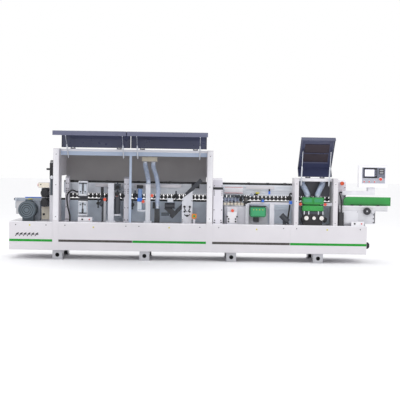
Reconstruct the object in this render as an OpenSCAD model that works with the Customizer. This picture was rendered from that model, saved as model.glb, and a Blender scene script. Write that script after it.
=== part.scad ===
// Automatic straight edge banding machine for panel furniture.
// +X runs to the infeed end, the operator stands on the -Y side, +Z is up.
// The origin is on the floor at the middle of the eight machine feet.

/* [Base] */
// Length of the machine base
base_l = 5500; // [5200:50:6700]
// Depth of the machine base
base_d = 1000; // [850:10:1250]
// Height of the base box above its feet
base_h = 435; // [360:5:530]
// Free height under the base box
foot_h = 145; // [120:1:180]
// Distance between neighbouring feet along the base
foot_pitch = 1340; // [1100:10:1600]
// Width of one foot
foot_w = 150; // [120:1:190]
// Length of the top plate of a foot
foot_len = 330; // [270:5:420]
// Plate thickness of the feet
foot_t = 12; // [8:1:16]
// Radius of the lifting hole in the front plate of a foot
foot_hole_r = 32; // [24:1:36]
// Radius of a floor anchor hole
anchor_r = 9; // [6:0.5:11]
// Distance of the anchor holes from the front and rear faces of the base
anchor_inset = 73; // [66:1:85]
// Thickness of the base cover panels
panel_t = 3; // [2:0.5:4]
// Gap between neighbouring cover panels
seam_w = 6; // [4:1:10]
// Width of the base members around each access opening
rail_w = 60; // [40:1:80]
// Wall thickness behind the access openings
frame_wall = 12; // [8:1:20]
// Height of the colour stripe on the panels
stripe_h = 36; // [24:1:44]
// Stripe's lower edge above the bottom of the base
stripe_rise = 129; // [90:1:170]
// Thickness of the colour stripe
stripe_t = 1; // [0.6:0.1:2]
// Radius of a panel screw head
screw_r = 8; // [6:0.5:10]
// Height of a panel screw head
screw_h = 3; // [2:0.5:4]
// Distance of the panel screws from the panel edges
screw_inset = 50; // [40:1:70]

/* [Enclosure] */
// Thickness of the enclosure walls
wall_w = 90; // [75:1:110]
// Left face of the left wall
wall_left_x = -2085; // [-2120:5:-2060]
// Left face of the right wall
wall_right_x = 278; // [278:1:280]
// Height of the enclosure above the base
enclosure_h = 1130; // [1040:5:1360]
// Rear face of the wall legs
wall_leg_y = -150; // [-170:1:-140]
// Underside of the wall arms above the base
wall_arm_rise = 710; // [700:5:760]
// Underside of the rear sheet above the base
rear_sheet_rise = 425; // [400:5:700]
// Sheet thickness of walls, roof and housings
sheet_t = 4; // [3:0.5:5]
// Depth of the front beam
beam_d = 40; // [36:1:60]
// Height of the front beam
beam_h = 100; // [80:1:120]
// Front face of the front beam behind the front of the machine
beam_inset = 228; // [220:1:240]
// Middle of the centre post
post_x = -912; // [-914:1:-910]
// Width of the centre post
post_w = 35; // [30:1:36]

/* [Hoods] */
// Side gap between a hood and its neighbour
hood_gap = 10; // [8:1:12]
// Thickness of the hood sheet
hood_t = 2; // [1.5:0.5:3]
// Height of the front plates of the two long hoods
hood_front_h = 1110; // [1000:5:1115]
// Height of the front plate of the pre-milling hood
mill_hood_h = 690; // [600:5:700]
// Depth of the bent lip at the lower edge of a hood
lip_d = 66; // [50:1:70]
// Width of the edge flange along the sides of a hood
flange_w = 25; // [18:1:30]
// Opening angle of the two long hoods
hood_open = 90; // [80:1:95]
// Opening angle of the pre-milling hood
mill_hood_open = 134; // [120:1:136]
// Radius of a hinge knuckle
knuckle_r = 7.5; // [7:0.1:7.8]
// Radius of a hinge pin
hinge_pin_r = 5; // [4:0.1:5.4]
// Length of the fixed knuckle of a hinge
knuckle_l = 40; // [30:1:50]
// Distance of the hinges from the two ends of a long hood
hinge_inset = 175; // [150:1:190]
// Distance of the hinges from the two ends of the pre-milling hood
mill_hinge_inset = 150; // [130:1:170]
// Running clearance on a radius
fit = 0.05; // [0.03:0.01:0.08]

/* [Gas struts] */
// Barrel radius of a gas strut
barrel_r = 11; // [9:0.5:11.5]
// Rod radius of a gas strut
strut_rod_r = 5; // [4:0.5:6]
// Eye radius of a gas strut
eye_r = 10; // [9:0.5:10.5]
// Width of a gas strut eye
eye_w = 10; // [8:1:12]
// Radius of a gas strut pin
strut_pin_r = 4; // [3:0.5:5]
// Distance of the struts from the two ends of a long hood
strut_inset = 105; // [100:1:112]
// Distance of the struts from the walls of the pre-milling housing
mill_strut_inset = 50; // [44:1:56]

/* [Pre-milling housing] */
// Left face of the housing
mill_x = 1625; // [1618:1:1632]
// Width of the housing
mill_w = 670; // [660:1:672]
// Height of the housing above the base
mill_h = 729; // [720:1:800]
// Width of the left leg
mill_leg_left = 66; // [50:1:68]
// Width of the right leg
mill_leg_right = 72; // [50:1:74]
// Rear face of the housing
mill_rear_y = -70; // [-76:1:-66]
// Height of the top bar
mill_bar_h = 51; // [40:1:56]
// Underside of the rear guard above the base
mill_guard_rise = 440; // [430:5:600]
// Front face of the top bar behind the front of the machine
mill_bar_inset = 180; // [174:1:186]

/* [Feed track] */
// Height of the chain pads above the base
work_rise = 352; // [348:1:356]
// Left end of the track beam
track_left_x = -2600; // [-2604:1:-2596]
// Right end of the track beam
track_right_x = 2960; // [2950:1:2970]
// Front face of the track beam
track_front_y = -20; // [-22:1:-18]
// Rear face of the track beam
track_rear_y = 100; // [96:1:110]
// Height of the track beam
track_h = 105; // [90:1:120]
// Left end of the support under the track
support_left_x = -2560; // [-2564:1:-2540]
// Right end of the support under the track
support_right_x = 2700; // [2690:1:2710]
// Front face of the support under the track
support_front_y = 0; // [-4:1:4]
// Rear face of the support under the track
support_rear_y = 80; // [76:1:84]
// Wall thickness of the track beam
track_wall = 10; // [6:1:14]
// Pitch of the chain pads
pad_pitch = 62.5; // [55:0.5:70]
// Gap between two chain pads
pad_gap = 2.5; // [2:0.5:5]
// Thickness of a chain pad
pad_t = 20; // [16:1:22]
// Width of a chain pad
pad_w = 70; // [50:1:76]
// Number of chain pads
pad_count = 87; // [70:1:87]
// Width of the chain under the pads
link_w = 20; // [14:1:30]
// Gap under the chain
chain_gap = 0.4; // [0.3:0.1:0.6]
// Radius of the drive sprocket
sprocket_r = 62; // [50:1:64]
// Radius of the drive shaft
shaft_r = 12; // [8:0.5:16]

/* [Pressure beam] */
// Left end of the pressure beam
beam_left_x = -1975; // [-1980:1:-1970]
// Right end of the pressure beam
beam_right_x = 2440; // [2436:1:2444]
// Front face of the pressure beam
beam_front_y = -20; // [-22:1:-18]
// Rear face of the pressure beam
beam_rear_y = 120; // [116:1:126]
// Height of the pressure beam
press_h = 163; // [140:1:170]
// Distance from the chain pads up to the beam
press_rise = 88; // [80:1:92]
// Height of the cable duct on the beam
duct_h = 33; // [26:1:36]
// Width of the cable duct on the beam
duct_w = 70; // [50:1:90]
// Depth of the grooves along the beam
groove_d = 12; // [8:1:16]
// Height of the grooves along the beam
groove_h = 12; // [8:1:16]
// Radius of a pressure roller on the beam
roller_r = 29; // [26:0.5:30]
// Pitch of the pressure rollers
roller_pitch = 62.5; // [61:0.5:66]
// Number of pressure rollers
roller_count = 70; // [50:1:70]
// Width of a pressure roller
roller_w = 64; // [50:1:68]
// Radius of a roller axle
axle_r = 6; // [5:0.5:8]
// Smallest board thickness under the rollers
board_min = 9; // [8:0.5:12]
// Thickness of a roller arm
arm_t = 5; // [4:0.5:6]
// Length of the lift carriages on the beam
carriage_h = 130; // [110:1:150]
// Sliding gap at the lift carriages
slide_gap = 0.4; // [0.3:0.1:0.6]

/* [Lift columns] */
// Middle of the first lift column
column_1_x = -1900; // [-1904:1:-1896]
// Middle of the second lift column
column_2_x = -975; // [-978:1:-972]
// Middle of the third lift column
column_3_x = 452; // [450:1:456]
// Middle of the fourth lift column
column_4_x = 2380; // [2379:1:2381]
// Width of the first lift column
column_1_w = 60; // [56:1:64]
// Width of the second lift column
column_2_w = 80; // [76:1:82]
// Width of the third lift column
column_3_w = 150; // [146:1:154]
// Width of the fourth lift column
column_4_w = 156; // [154:1:158]
// Rear face of the lift columns
column_rear_y = -70; // [-71:1:-69]
// Depth of a lift column
column_d = 130; // [100:1:150]
// Height of a lift column above the base
column_h = 630; // [600:1:650]
// Height of the gearbox cap on a column
cap_h = 75; // [50:1:80]
// Radius of the lift crank shaft
crank_r = 8; // [6:0.5:10]
// Height of the lift crank above the top of its column
crank_rise = 25; // [20:1:30]

/* [Outfeed] */
// Middle of the feed motor along the machine
motor_x = -2485; // [-2490:1:-2480]
// Radius of the feed motor
motor_r = 134; // [112:1:135]
// Height of the feed motor axis above the base
motor_rise = 177; // [172:1:186]
// Left end of the outfeed bar
outfeed_left_x = -2724; // [-2728:1:-2720]
// Right end of the outfeed bar
outfeed_right_x = -2311; // [-2314:1:-2308]
// Middle of the buffing motors along the machine
buff_x = -2225; // [-2230:1:-2220]
// Radius of the buffing motors
buff_motor_r = 62; // [50:1:64]
// Radius of the buffing wheels
buff_r = 66; // [56:1:68]
// Distance of the buffing axes above and below the board's edge
buff_offset = 74; // [70:1:76]
// Radius of the buffing shafts
buff_shaft_r = 8; // [6:0.5:10]

/* [Infeed] */
// Left end of the infeed table
table_x = 2325; // [2320:1:2330]
// Overhang of the infeed table past the base
table_overhang = 325; // [280:5:380]
// Thickness of the infeed table
table_t = 34; // [26:1:40]
// Drop of the infeed table's top below the chain pads
table_drop = 36; // [30:1:40]
// Height of the apron under the infeed table
apron_h = 32; // [26:1:36]
// Front edge of the infeed table
table_front_y = -440; // [-444:1:-436]
// Rear edge of the infeed table
table_rear_y = -45; // [-48:1:-42]
// Overhang of the infeed fence past the base
fence_overhang = 385; // [340:5:440]
// Height of the infeed fence
fence_h = 133; // [110:1:140]
// Corner radius of the infeed fence
fence_r = 70; // [40:1:90]
// Left end of the infeed fence
fence_x = 2406; // [2400:1:2412]
// Left face of the infeed cabinet
cabinet_left_x = 2325; // [2324:1:2327]
// Right face of the infeed cabinet
cabinet_right_x = 2884; // [2880:1:2888]
// Front face of the infeed cabinet
cabinet_front_y = -440; // [-442:1:-438]
// Rear face of the infeed cabinet
cabinet_rear_y = -258; // [-260:1:-256]
// Radius of the edge tape disc
disc_r = 56; // [46:1:60]
// Middle of the edge tape disc
disc_x = 2752; // [2740:1:2756]

/* [Control panel] */
// Width of the control panel
panel_w = 442; // [400:1:470]
// Height of the control panel
panel_h = 347; // [310:1:380]
// Depth of the control panel
panel_d = 160; // [130:1:180]
// Swivel axis of the panel along the machine
panel_x = 2835; // [2830:1:2840]
// Swivel axis of the panel across the machine
panel_y = -290; // [-294:1:-286]
// Underside of the panel above the base
panel_rise = 600; // [590:1:640]
// Radius of the swivel pin
swivel_r = 15; // [12:0.5:18]
// Width of the raised bezel
bezel_w = 362; // [340:1:380]
// Height of the raised bezel
bezel_h = 250; // [240:1:270]
// Thickness of the raised bezel
bezel_t = 6; // [4:0.5:8]
// Radius of the emergency stop cap
estop_r = 23; // [20:0.5:26]
// Radius of a push button
button_r = 11; // [9:0.5:12]
// Travel of a push button
button_travel = 3; // [2:0.5:4]
// Travel of the emergency stop
estop_travel = 6; // [4:0.5:7]
// Wall thickness of the control panel
panel_wall = 3; // [2:0.5:4]

/* [Gluing unit] */
// Left end of the glue unit body
glue_left_x = 560; // [558:1:562]
// Right end of the glue unit body
glue_right_x = 1240; // [1238:1:1242]
// Front face of the glue unit body
glue_front_y = -240; // [-242:1:-238]
// Rear face of the glue unit body
glue_rear_y = -130; // [-132:1:-128]
// Height of the glue unit body above the base
glue_h = 270; // [250:1:285]
// Left end of the glue pot
pot_left_x = 950; // [948:1:952]
// Right end of the glue pot
pot_right_x = 1200; // [1198:1:1202]
// Depth of the glue pot
pot_d = 160; // [130:1:180]
// Height of the glue pot
pot_h = 161; // [140:1:180]
// Corner chamfer of the glue pot
pot_chamfer = 22; // [10:1:34]
// Radius of the glue roller
glue_roller_r = 30; // [24:1:34]
// Radius of the large pressing roller
press_roller_r = 45; // [36:1:48]
// Clearance from a roller to the board's edge
edge_gap = 2; // [1:0.5:4]

/* [Milling and trimming units] */
// Radius of a pre-milling cutter
cutter_r = 55; // [45:1:58]
// Height of a pre-milling cutter
cutter_h = 85; // [70:1:88]
// Middle of the left pre-milling cutter
cutter_left_x = 1848; // [1846:1:1850]
// Middle of the right pre-milling cutter
cutter_right_x = 2038; // [2036:1:2040]
// Radius of a pre-milling motor
mill_motor_r = 60; // [50:1:62]
// Radius of an end trimming motor
end_motor_r = 42; // [34:1:46]
// Radius of a red adjusting knob
knob_r = 23; // [18:1:25]
// Height of a red adjusting knob
knob_h = 26; // [20:1:30]
// Radius of a dust hose
hose_r = 36; // [26:1:37]
// Radius of a pre-milling dust hose
mill_hose_r = 44; // [30:1:44]

/* [Hidden] */
$fn = 48;
tiny = 0.01;
front_y = -base_d / 2;
back_y = base_d / 2;
deck_z = foot_h + base_h;
left_x = -base_l / 2;
right_x = base_l / 2;
top_z = deck_z + enclosure_h;
work_z = deck_z + work_rise;
edge_y = -40;
track_x = [track_left_x, track_right_x];
track_y = [track_front_y, track_rear_y];
support_x = [support_left_x, support_right_x];
support_y = [support_front_y, support_rear_y];
beam_x = [beam_left_x, beam_right_x];
press_y = [beam_front_y, beam_rear_y];
column_x = [column_1_x, column_2_x, column_3_x, column_4_x];
column_w = [column_1_w, column_2_w, column_3_w, column_4_w];
outfeed_x = [outfeed_left_x, outfeed_right_x];
table_y = [table_front_y, table_rear_y];
cabinet_x = [cabinet_left_x, cabinet_right_x];
cabinet_y = [cabinet_front_y, cabinet_rear_y];
glue_x = [glue_left_x, glue_right_x];
glue_y = [glue_front_y, glue_rear_y];
pot_x = [pot_left_x, pot_right_x];
cutter_x = [cutter_left_x, cutter_right_x];
table_z = work_z - table_drop;
cabinet_top = table_z - table_t - apron_h;
wall_xs = [wall_left_x, wall_right_x];
bay_x = [wall_left_x + wall_w, wall_right_x];
panel_seam_x = (bay_x[0] + bay_x[1]) / 2;
panel_seam_right_x = mill_x - 57;
panel_spans = [
    [left_x, wall_left_x],
    [bay_x[0], panel_seam_x],
    [panel_seam_x, bay_x[1]],
    [bay_x[1] + wall_w, panel_seam_right_x],
    [panel_seam_right_x, right_x]
];
feet_x = [for (i = [-1.5 : 1 : 1.5]) i * foot_pitch];
// Hinge axes, as [y, z] pairs
hood_axis = [front_y + beam_inset + 10, top_z + 8];
mill_axis = [front_y + mill_bar_inset + 10, deck_z + mill_h + 8];
// Hood sizes that follow from the axes
hood_top = -front_y + hood_axis[0] - 1;
mill_hood_top = -front_y + mill_axis[0] - 1;
mill_bay_x = [mill_x + mill_leg_left, mill_x + mill_w - mill_leg_right];
hood_spans = [
    [bay_x[0] + hood_gap, post_x - hood_gap / 2],
    [post_x + hood_gap / 2, bay_x[1] - hood_gap]
];
mill_hood_span = [mill_bay_x[0] + hood_gap / 2, mill_bay_x[1] - hood_gap / 2];
// Strut anchors, measured from the hinge axes: on the closed hood and on the frame
hood_ear = [-hood_top + 50, -400];
hood_foot = [7, -143];
mill_ear = [-mill_hood_top + 46, -421];
mill_foot = [-15, -122];
function turned(p, a) = [p[0] * cos(a) - p[1] * sin(a), p[0] * sin(a) + p[1] * cos(a)];
function reach(p, q) = norm(p - q);
function slope(p, q) = atan2(p[1] - q[1], p[0] - q[0]);

// Box between pairs of end values
module box(x, y, z) {
    translate([x[0], y[0], z[0]]) cube([x[1] - x[0], y[1] - y[0], z[1] - z[0]]);
}
// Round bars along each axis, between a pair of end values
module bar_x(x, y, z, r) {
    translate([x[0], y, z]) rotate([0, 90, 0]) cylinder(h = x[1] - x[0], r = r);
}
module bar_y(x, y, z, r) {
    translate([x, y[0], z]) rotate([-90, 0, 0]) cylinder(h = y[1] - y[0], r = r);
}
module bar_z(x, y, z, r) {
    translate([x, y, z[0]]) cylinder(h = z[1] - z[0], r = r);
}
// Side outline in the YZ plane, given a thickness along X
module side_plate(x, points) {
    translate([x[0], 0, 0]) rotate([90, 0, 90]) linear_extrude(x[1] - x[0]) polygon(points);
}
// Front outline in the XZ plane, given a thickness along Y
module front_plate(y, points) {
    translate([0, y[1], 0]) rotate([90, 0, 0]) linear_extrude(y[1] - y[0]) polygon(points);
}
// Smooth curve through a list of points, and a tube along it
function curve_point(p, i, t) =
    let (a = p[max(i - 1, 0)], b = p[i], c = p[i + 1], d = p[min(i + 2, len(p) - 1)])
    0.5 * (2 * b + (c - a) * t + (2 * a - 5 * b + 4 * c - d) * t * t
    + (3 * b - a - 3 * c + d) * t * t * t);
function curve(p, steps) = concat(
    [for (i = [0 : len(p) - 2]) for (s = [0 : steps - 1]) curve_point(p, i, s / steps)],
    [p[len(p) - 1]]);
function unit(v) = v / norm(v);
module tube(route, r, steps = 4, sides = 10) {
    p = curve(route, steps);
    last = len(p) - 1;
    n = len(route) - 1;
    rings = [for (i = [0 : last])
        let (along = i == 0 ? route[1] - route[0] : i == last ? route[n] - route[n - 1] : p[i + 1] - p[i - 1])
        let (t = unit(along), a = unit(cross(t, [0, 1, 0.02])), b = cross(a, t))
        for (k = [0 : sides - 1])
            p[i] + r * (cos(360 * k / sides) * a + sin(360 * k / sides) * b)];
    walls = [for (i = [0 : last - 1]) for (k = [0 : sides - 1])
        let (m = (k + 1) % sides)
        [i * sides + k, i * sides + m, (i + 1) * sides + m, (i + 1) * sides + k]];
    start = [for (k = [0 : sides - 1]) sides - 1 - k];
    end = [for (k = [0 : sides - 1]) last * sides + k];
    polyhedron(rings, concat([start], walls, [end]));
}

module base_frame() color("gainsboro") {
    difference() {
        box([left_x, right_x], [front_y + panel_t, back_y], [foot_h, deck_z]);
        for (s = panel_spans)
            box([s[0] + rail_w, s[1] - rail_w], [front_y, back_y - frame_wall],
                [foot_h + rail_w, deck_z - rail_w]);
    }
}

module base_panels() color("whitesmoke") {
    vent_count = 6;
    vent_pitch = 60;
    vent_l = 46;
    vent_h = 14;
    vent_rise = 235;
    vent_lean = 28;
    difference() {
        for (s = panel_spans)
            box([s[0] + seam_w / 2, s[1] - seam_w / 2], [front_y, front_y + panel_t],
                [foot_h + seam_w, deck_z - seam_w]);
        for (i = [0 : vent_count - 1])
            translate([left_x + 110 + i * vent_pitch, front_y - 1, foot_h + vent_rise])
                rotate([0, -vent_lean, 0]) cube([vent_l, panel_t + 2, vent_h]);
    }
}

module base_stripes() color("seagreen") {
    for (s = panel_spans)
        box([s[0] + seam_w / 2, s[1] - seam_w / 2], [front_y - stripe_t, front_y],
            [foot_h + stripe_rise, foot_h + stripe_rise + stripe_h]);
}

module fasteners() color("dimgray") {
    bolt_r = 9;
    bolt_h = 6;
    bolt_inset = 26;
    for (s = panel_spans) for (x = [s[0] + 2 * screw_inset, s[1] - 2 * screw_inset])
        bar_y(x, [front_y - screw_h, front_y], deck_z - screw_inset, screw_r);
    for (z = [deck_z + bolt_inset, deck_z + 60])
        for (side = [-1, 1])
            bar_y(column_x[2] + side * (column_w[2] / 2 - bolt_inset),
                [front_y + 30 - bolt_h, front_y + 30], z, bolt_r);
    for (z = [deck_z + 60, deck_z + 120, deck_z + 180])
        bar_y(cabinet_x[1] - bolt_inset, [cabinet_y[0] - bolt_h, cabinet_y[0]], z, bolt_r);
}

module foot() {
    flange_d = 110;
    plate_y = 18;
    difference() {
        union() {
            box([-foot_w / 2 - 10, foot_w / 2 + 10], [0, flange_d], [0, foot_t]);
            box([-foot_w / 2, foot_w / 2], [plate_y, plate_y + foot_t], [0, foot_h]);
            box([-foot_w / 2, foot_w / 2], [plate_y, foot_len], [foot_h - foot_t, foot_h]);
            for (x = [-foot_w / 2, foot_w / 2 - foot_t])
                side_plate([x, x + foot_t], [[plate_y, 0], [flange_d, 0], [foot_len, foot_h - foot_t],
                    [foot_len, foot_h], [plate_y, foot_h]]);
        }
        bar_y(0, [0, plate_y + 2 * foot_t], foot_h / 2, foot_hole_r);
        bar_z(0, anchor_inset - 8, [-1, foot_t + 1], anchor_r);
    }
}

module machine_feet() color("silver") {
    for (x = feet_x) {
        translate([x, front_y + 8, 0]) foot();
        translate([x, back_y - 8, 0]) rotate([0, 0, 180]) foot();
    }
}

module enclosure_wall(x) {
    difference() {
        union() {
            box([x, x + wall_w], [front_y, wall_leg_y], [deck_z, top_z]);
            box([x, x + wall_w], [front_y, back_y], [deck_z + wall_arm_rise, top_z]);
            box([x, x + wall_w], [front_y, front_y + panel_t], [foot_h, top_z]);
        }
        box([x + sheet_t, x + wall_w - sheet_t], [front_y + sheet_t, wall_leg_y - sheet_t],
            [deck_z - 1, top_z - sheet_t]);
        box([x + sheet_t, x + wall_w - sheet_t], [front_y + sheet_t, back_y - sheet_t],
            [deck_z + wall_arm_rise + sheet_t, top_z - sheet_t]);
    }
}

module enclosure_wall_left() color("ghostwhite") enclosure_wall(wall_xs[0]);

module enclosure_wall_right() color("ghostwhite") enclosure_wall(wall_xs[1]);

module enclosure_roof() color("darkgray") {
    rib_w = 30;
    rib_h = 24;
    y0 = front_y + beam_inset + beam_d;
    box(bay_x, [y0, back_y], [top_z - sheet_t, top_z]);
    box(bay_x, [back_y - sheet_t, back_y], [deck_z + rear_sheet_rise, top_z]);
    for (x = [bay_x[0] + 560, post_x, bay_x[1] - 560])
        box([x - rib_w / 2, x + rib_w / 2], [y0, back_y], [top_z - sheet_t - rib_h, top_z]);
}

module enclosure_beam() color("lavender") {
    y = [front_y + beam_inset, front_y + beam_inset + beam_d];
    difference() {
        box(bay_x, y, [top_z - beam_h, top_z]);
        box([bay_x[0] - 1, bay_x[1] + 1], [y[0] + sheet_t, y[1] - sheet_t],
            [top_z - beam_h + sheet_t, top_z - sheet_t]);
    }
    box([post_x - post_w / 2, post_x + post_w / 2], y, [deck_z, top_z - beam_h]);
}

// Fixed half of a hinge: leaf on the sheet behind it, knuckle, and a pin out of both ends
module fixed_hinge(x, axis, drop) {
    leaf_w = 22;
    pin_l = knuckle_l / 2 + 22;
    bar_x([x - knuckle_l / 2, x + knuckle_l / 2], axis[0], axis[1], knuckle_r);
    bar_x([x - pin_l, x + pin_l], axis[0], axis[1], hinge_pin_r);
    box([x - knuckle_l / 2, x + knuckle_l / 2], [axis[0], axis[0] + leaf_w],
        [axis[1] - drop, axis[1] - drop + hood_t]);
}

// Ear and pin that carry the lower eye of a gas strut
module strut_foot(x, p, z_top) {
    ear_x = [x + barrel_r + 1, x + barrel_r + 5];
    box(ear_x, [p[0] - 9, p[0] + 9], [p[1] - 9, z_top]);
    bar_x([x - eye_w / 2, ear_x[1]], p[0], p[1], strut_pin_r);
}

function hinge_xs(s) = [s[0] + hinge_inset, s[1] - hinge_inset];
function strut_xs(s) = [s[0] + strut_inset, s[1] - strut_inset];
mill_hinge_xs = [mill_hood_span[0] + mill_hinge_inset, mill_hood_span[1] - mill_hinge_inset];
mill_strut_xs = [mill_bay_x[0] + mill_strut_inset, mill_bay_x[1] - mill_strut_inset];

module hood_hinges() color("black") {
    for (s = hood_spans) for (x = hinge_xs(s)) fixed_hinge(x, hood_axis, 8);
    for (x = mill_hinge_xs) fixed_hinge(x, mill_axis, 8);
    for (s = hood_spans) for (x = strut_xs(s))
        strut_foot(x, hood_axis + hood_foot, top_z - beam_h);
    for (x = mill_strut_xs)
        strut_foot(x, mill_axis + mill_foot, mill_axis[1] - 8 - mill_bar_h);
}

// Hood in its closed place, with the hinge axis at the origin
module hood_shell(span, top_l, front_h, hinges, struts, ear) {
    knuckle_gap = 1;
    outer_l = 14;
    ear_t = 4;
    plate_z = [-knuckle_r, -knuckle_r + hood_t];
    difference() {
        union() {
            box(span, [-top_l, -12], plate_z);
            box(span, [-top_l, -top_l + hood_t], [-front_h, plate_z[1]]);
            box(span, [-top_l, -top_l + lip_d], [-front_h, -front_h + hood_t]);
            for (x = [span[0], span[1] - hood_t]) {
                box([x, x + hood_t], [-top_l, -top_l + flange_w], [-front_h, plate_z[1]]);
                box([x, x + hood_t], [-top_l, -13], [-flange_w - knuckle_r, plate_z[1]]);
            }
            for (h = hinges) for (side = [-1, 1]) {
                a = h + side * (knuckle_l / 2 + knuckle_gap);
                b = a + side * outer_l;
                bar_x([min(a, b), max(a, b)], 0, 0, knuckle_r);
                box([min(a, b), max(a, b)], [-14, 0], plate_z);
            }
            for (x = struts)
                box([x + barrel_r + 1, x + barrel_r + 1 + ear_t], [-top_l + hood_t - tiny, ear[0] + 12],
                    [ear[1] - 14, ear[1] + 14]);
        }
        for (h = hinges)
            bar_x([h - knuckle_l, h + knuckle_l], 0, 0, hinge_pin_r + fit);
    }
}

module placed_hood(axis, open, span, top_l, front_h, hinges, struts, ear) {
    translate([0, axis[0], axis[1]]) rotate([-open, 0, 0])
        hood_shell(span, top_l, front_h, hinges, struts, ear);
}

module long_hood(s) {
    placed_hood(hood_axis, hood_open, s, hood_top, hood_front_h, hinge_xs(s), strut_xs(s), hood_ear);
}

module hood_left() color("midnightblue") long_hood(hood_spans[0]);

module hood_mid() color("midnightblue") long_hood(hood_spans[1]);

module hood_right() color("midnightblue") {
    placed_hood(mill_axis, mill_hood_open, mill_hood_span, mill_hood_top, mill_hood_h, mill_hinge_xs,
        mill_strut_xs, mill_ear);
}

// Barrel half of a gas strut from its lower anchor, then its rod half up to the hood
module strut_barrel(x, foot, ear, open) {
    shut_l = reach(ear, foot);
    barrel_l = shut_l - eye_r - 4;
    top = turned(ear, -open);
    difference() {
        union() {
            bar_x([x - eye_w / 2, x + eye_w / 2], foot[0], foot[1], eye_r);
            translate([x, foot[0], foot[1]]) rotate([slope(top, foot), 0, 0])
                bar_y(0, [eye_r - 2, barrel_l], 0, barrel_r);
        }
        bar_x([x - eye_w, x + eye_w], foot[0], foot[1], strut_pin_r + fit);
        translate([x, foot[0], foot[1]]) rotate([slope(top, foot), 0, 0])
            bar_y(0, [eye_r + 10, barrel_l + 1], 0, strut_rod_r + fit);
    }
}

module strut_rod(x, foot, ear, open) {
    shut_l = reach(ear, foot);
    top = turned(ear, -open);
    open_l = reach(top, foot);
    rod_l = shut_l - eye_r - 14;
    translate([x, foot[0], foot[1]]) rotate([slope(top, foot), 0, 0]) {
        bar_y(0, [open_l - rod_l, open_l - eye_r + 2], 0, strut_rod_r);
        bar_x([-eye_w / 2, eye_w / 2], open_l, 0, eye_r);
    }
}

module strut_barrels(axis, xs, foot, ear, open) {
    translate([0, axis[0], axis[1]]) for (x = xs) strut_barrel(x, foot, ear, open);
}

module strut_rods(axis, xs, foot, ear, open) {
    translate([0, axis[0], axis[1]]) for (x = xs) strut_rod(x, foot, ear, open);
}

module strut_cylinders_left() color("white")
    strut_barrels(hood_axis, strut_xs(hood_spans[0]), hood_foot, hood_ear, hood_open);

module strut_rods_left() color("silver")
    strut_rods(hood_axis, strut_xs(hood_spans[0]), hood_foot, hood_ear, hood_open);

module strut_cylinders_mid() color("white")
    strut_barrels(hood_axis, strut_xs(hood_spans[1]), hood_foot, hood_ear, hood_open);

module strut_rods_mid() color("silver")
    strut_rods(hood_axis, strut_xs(hood_spans[1]), hood_foot, hood_ear, hood_open);

module strut_cylinders_right() color("white")
    strut_barrels(mill_axis, mill_strut_xs, mill_foot, mill_ear, mill_hood_open);

module strut_rods_right() color("silver")
    strut_rods(mill_axis, mill_strut_xs, mill_foot, mill_ear, mill_hood_open);

module premill_housing() color("ghostwhite") {
    z = [deck_z, deck_z + mill_h];
    left = [mill_x, mill_bay_x[0]];
    right = [mill_bay_x[1], mill_x + mill_w];
    bar_y0 = front_y + mill_bar_inset;
    for (leg = [left, right])
        difference() {
            box(leg, [front_y, mill_rear_y], z);
            box([leg[0] + sheet_t, leg[1] - sheet_t], [front_y + sheet_t, mill_rear_y - sheet_t],
                [z[0] - 1, z[1] - sheet_t]);
        }
    box(mill_bay_x, [bar_y0, mill_rear_y], [z[1] - sheet_t, z[1]]);
    box(mill_bay_x, [mill_rear_y - sheet_t, mill_rear_y], [deck_z + mill_guard_rise, z[1]]);
    box(mill_bay_x, [bar_y0, bar_y0 + sheet_t], [z[1] - mill_bar_h, z[1]]);
    box(mill_bay_x, [bar_y0, bar_y0 + 40], [z[1] - mill_bar_h, z[1] - mill_bar_h + sheet_t]);
}

module track_beam() color("lightsteelblue") {
    top = work_z - pad_t - chain_gap - 7;
    bottom = top - track_h;
    difference() {
        box(track_x, track_y, [bottom, top]);
        box([track_x[0] - 1, track_x[1] + 1], [track_y[0] + track_wall, track_y[1] - track_wall],
            [bottom + track_wall, top - track_wall]);
        for (z = [bottom + 30, bottom + 66])
            box([track_x[0] - 1, track_x[1] + 1], [track_y[0] - 1, track_y[0] + 5], [z, z + groove_h]);
    }
    difference() {
        box(support_x, support_y, [deck_z, bottom]);
        box([support_x[0] - 1, support_x[1] + 1],
            [support_y[0] + track_wall, support_y[1] - track_wall], [deck_z - 1, bottom - track_wall]);
    }
}

module feed_chain() color("dimgray") {
    pad_x = [for (i = [0 : pad_count - 1]) track_x[0] + 40 + i * pad_pitch];
    mid_y = (track_y[0] + track_y[1]) / 2;
    for (x = pad_x)
        box([x, x + pad_pitch - pad_gap], [mid_y - pad_w / 2, mid_y + pad_w / 2], [work_z - pad_t, work_z]);
    box([pad_x[0], pad_x[pad_count - 1] + pad_pitch - pad_gap],
        [mid_y - link_w / 2, mid_y + link_w / 2], [work_z - pad_t - 7, work_z - pad_t + tiny]);
}

sprocket_x = track_x[0] - sprocket_r - 4;
sprocket_z = work_z - pad_t - 12 - sprocket_r;

module feed_sprocket() color("silver") {
    tooth_count = 14;
    tooth_h = 8;
    tooth_step = 360 / tooth_count;
    outline = [for (i = [0 : tooth_count - 1]) for (c = [[0, 0], [0.18, 1], [0.42, 1], [0.6, 0]])
        let (a = (i + c[0]) * tooth_step, r = sprocket_r - (1 - c[1]) * tooth_h)
        [r * cos(a), r * sin(a)]];
    translate([sprocket_x, 0, sprocket_z]) front_plate([30, 50], outline);
    bar_y(sprocket_x, [-58, track_y[1] - 4], sprocket_z, shaft_r);
}

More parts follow.
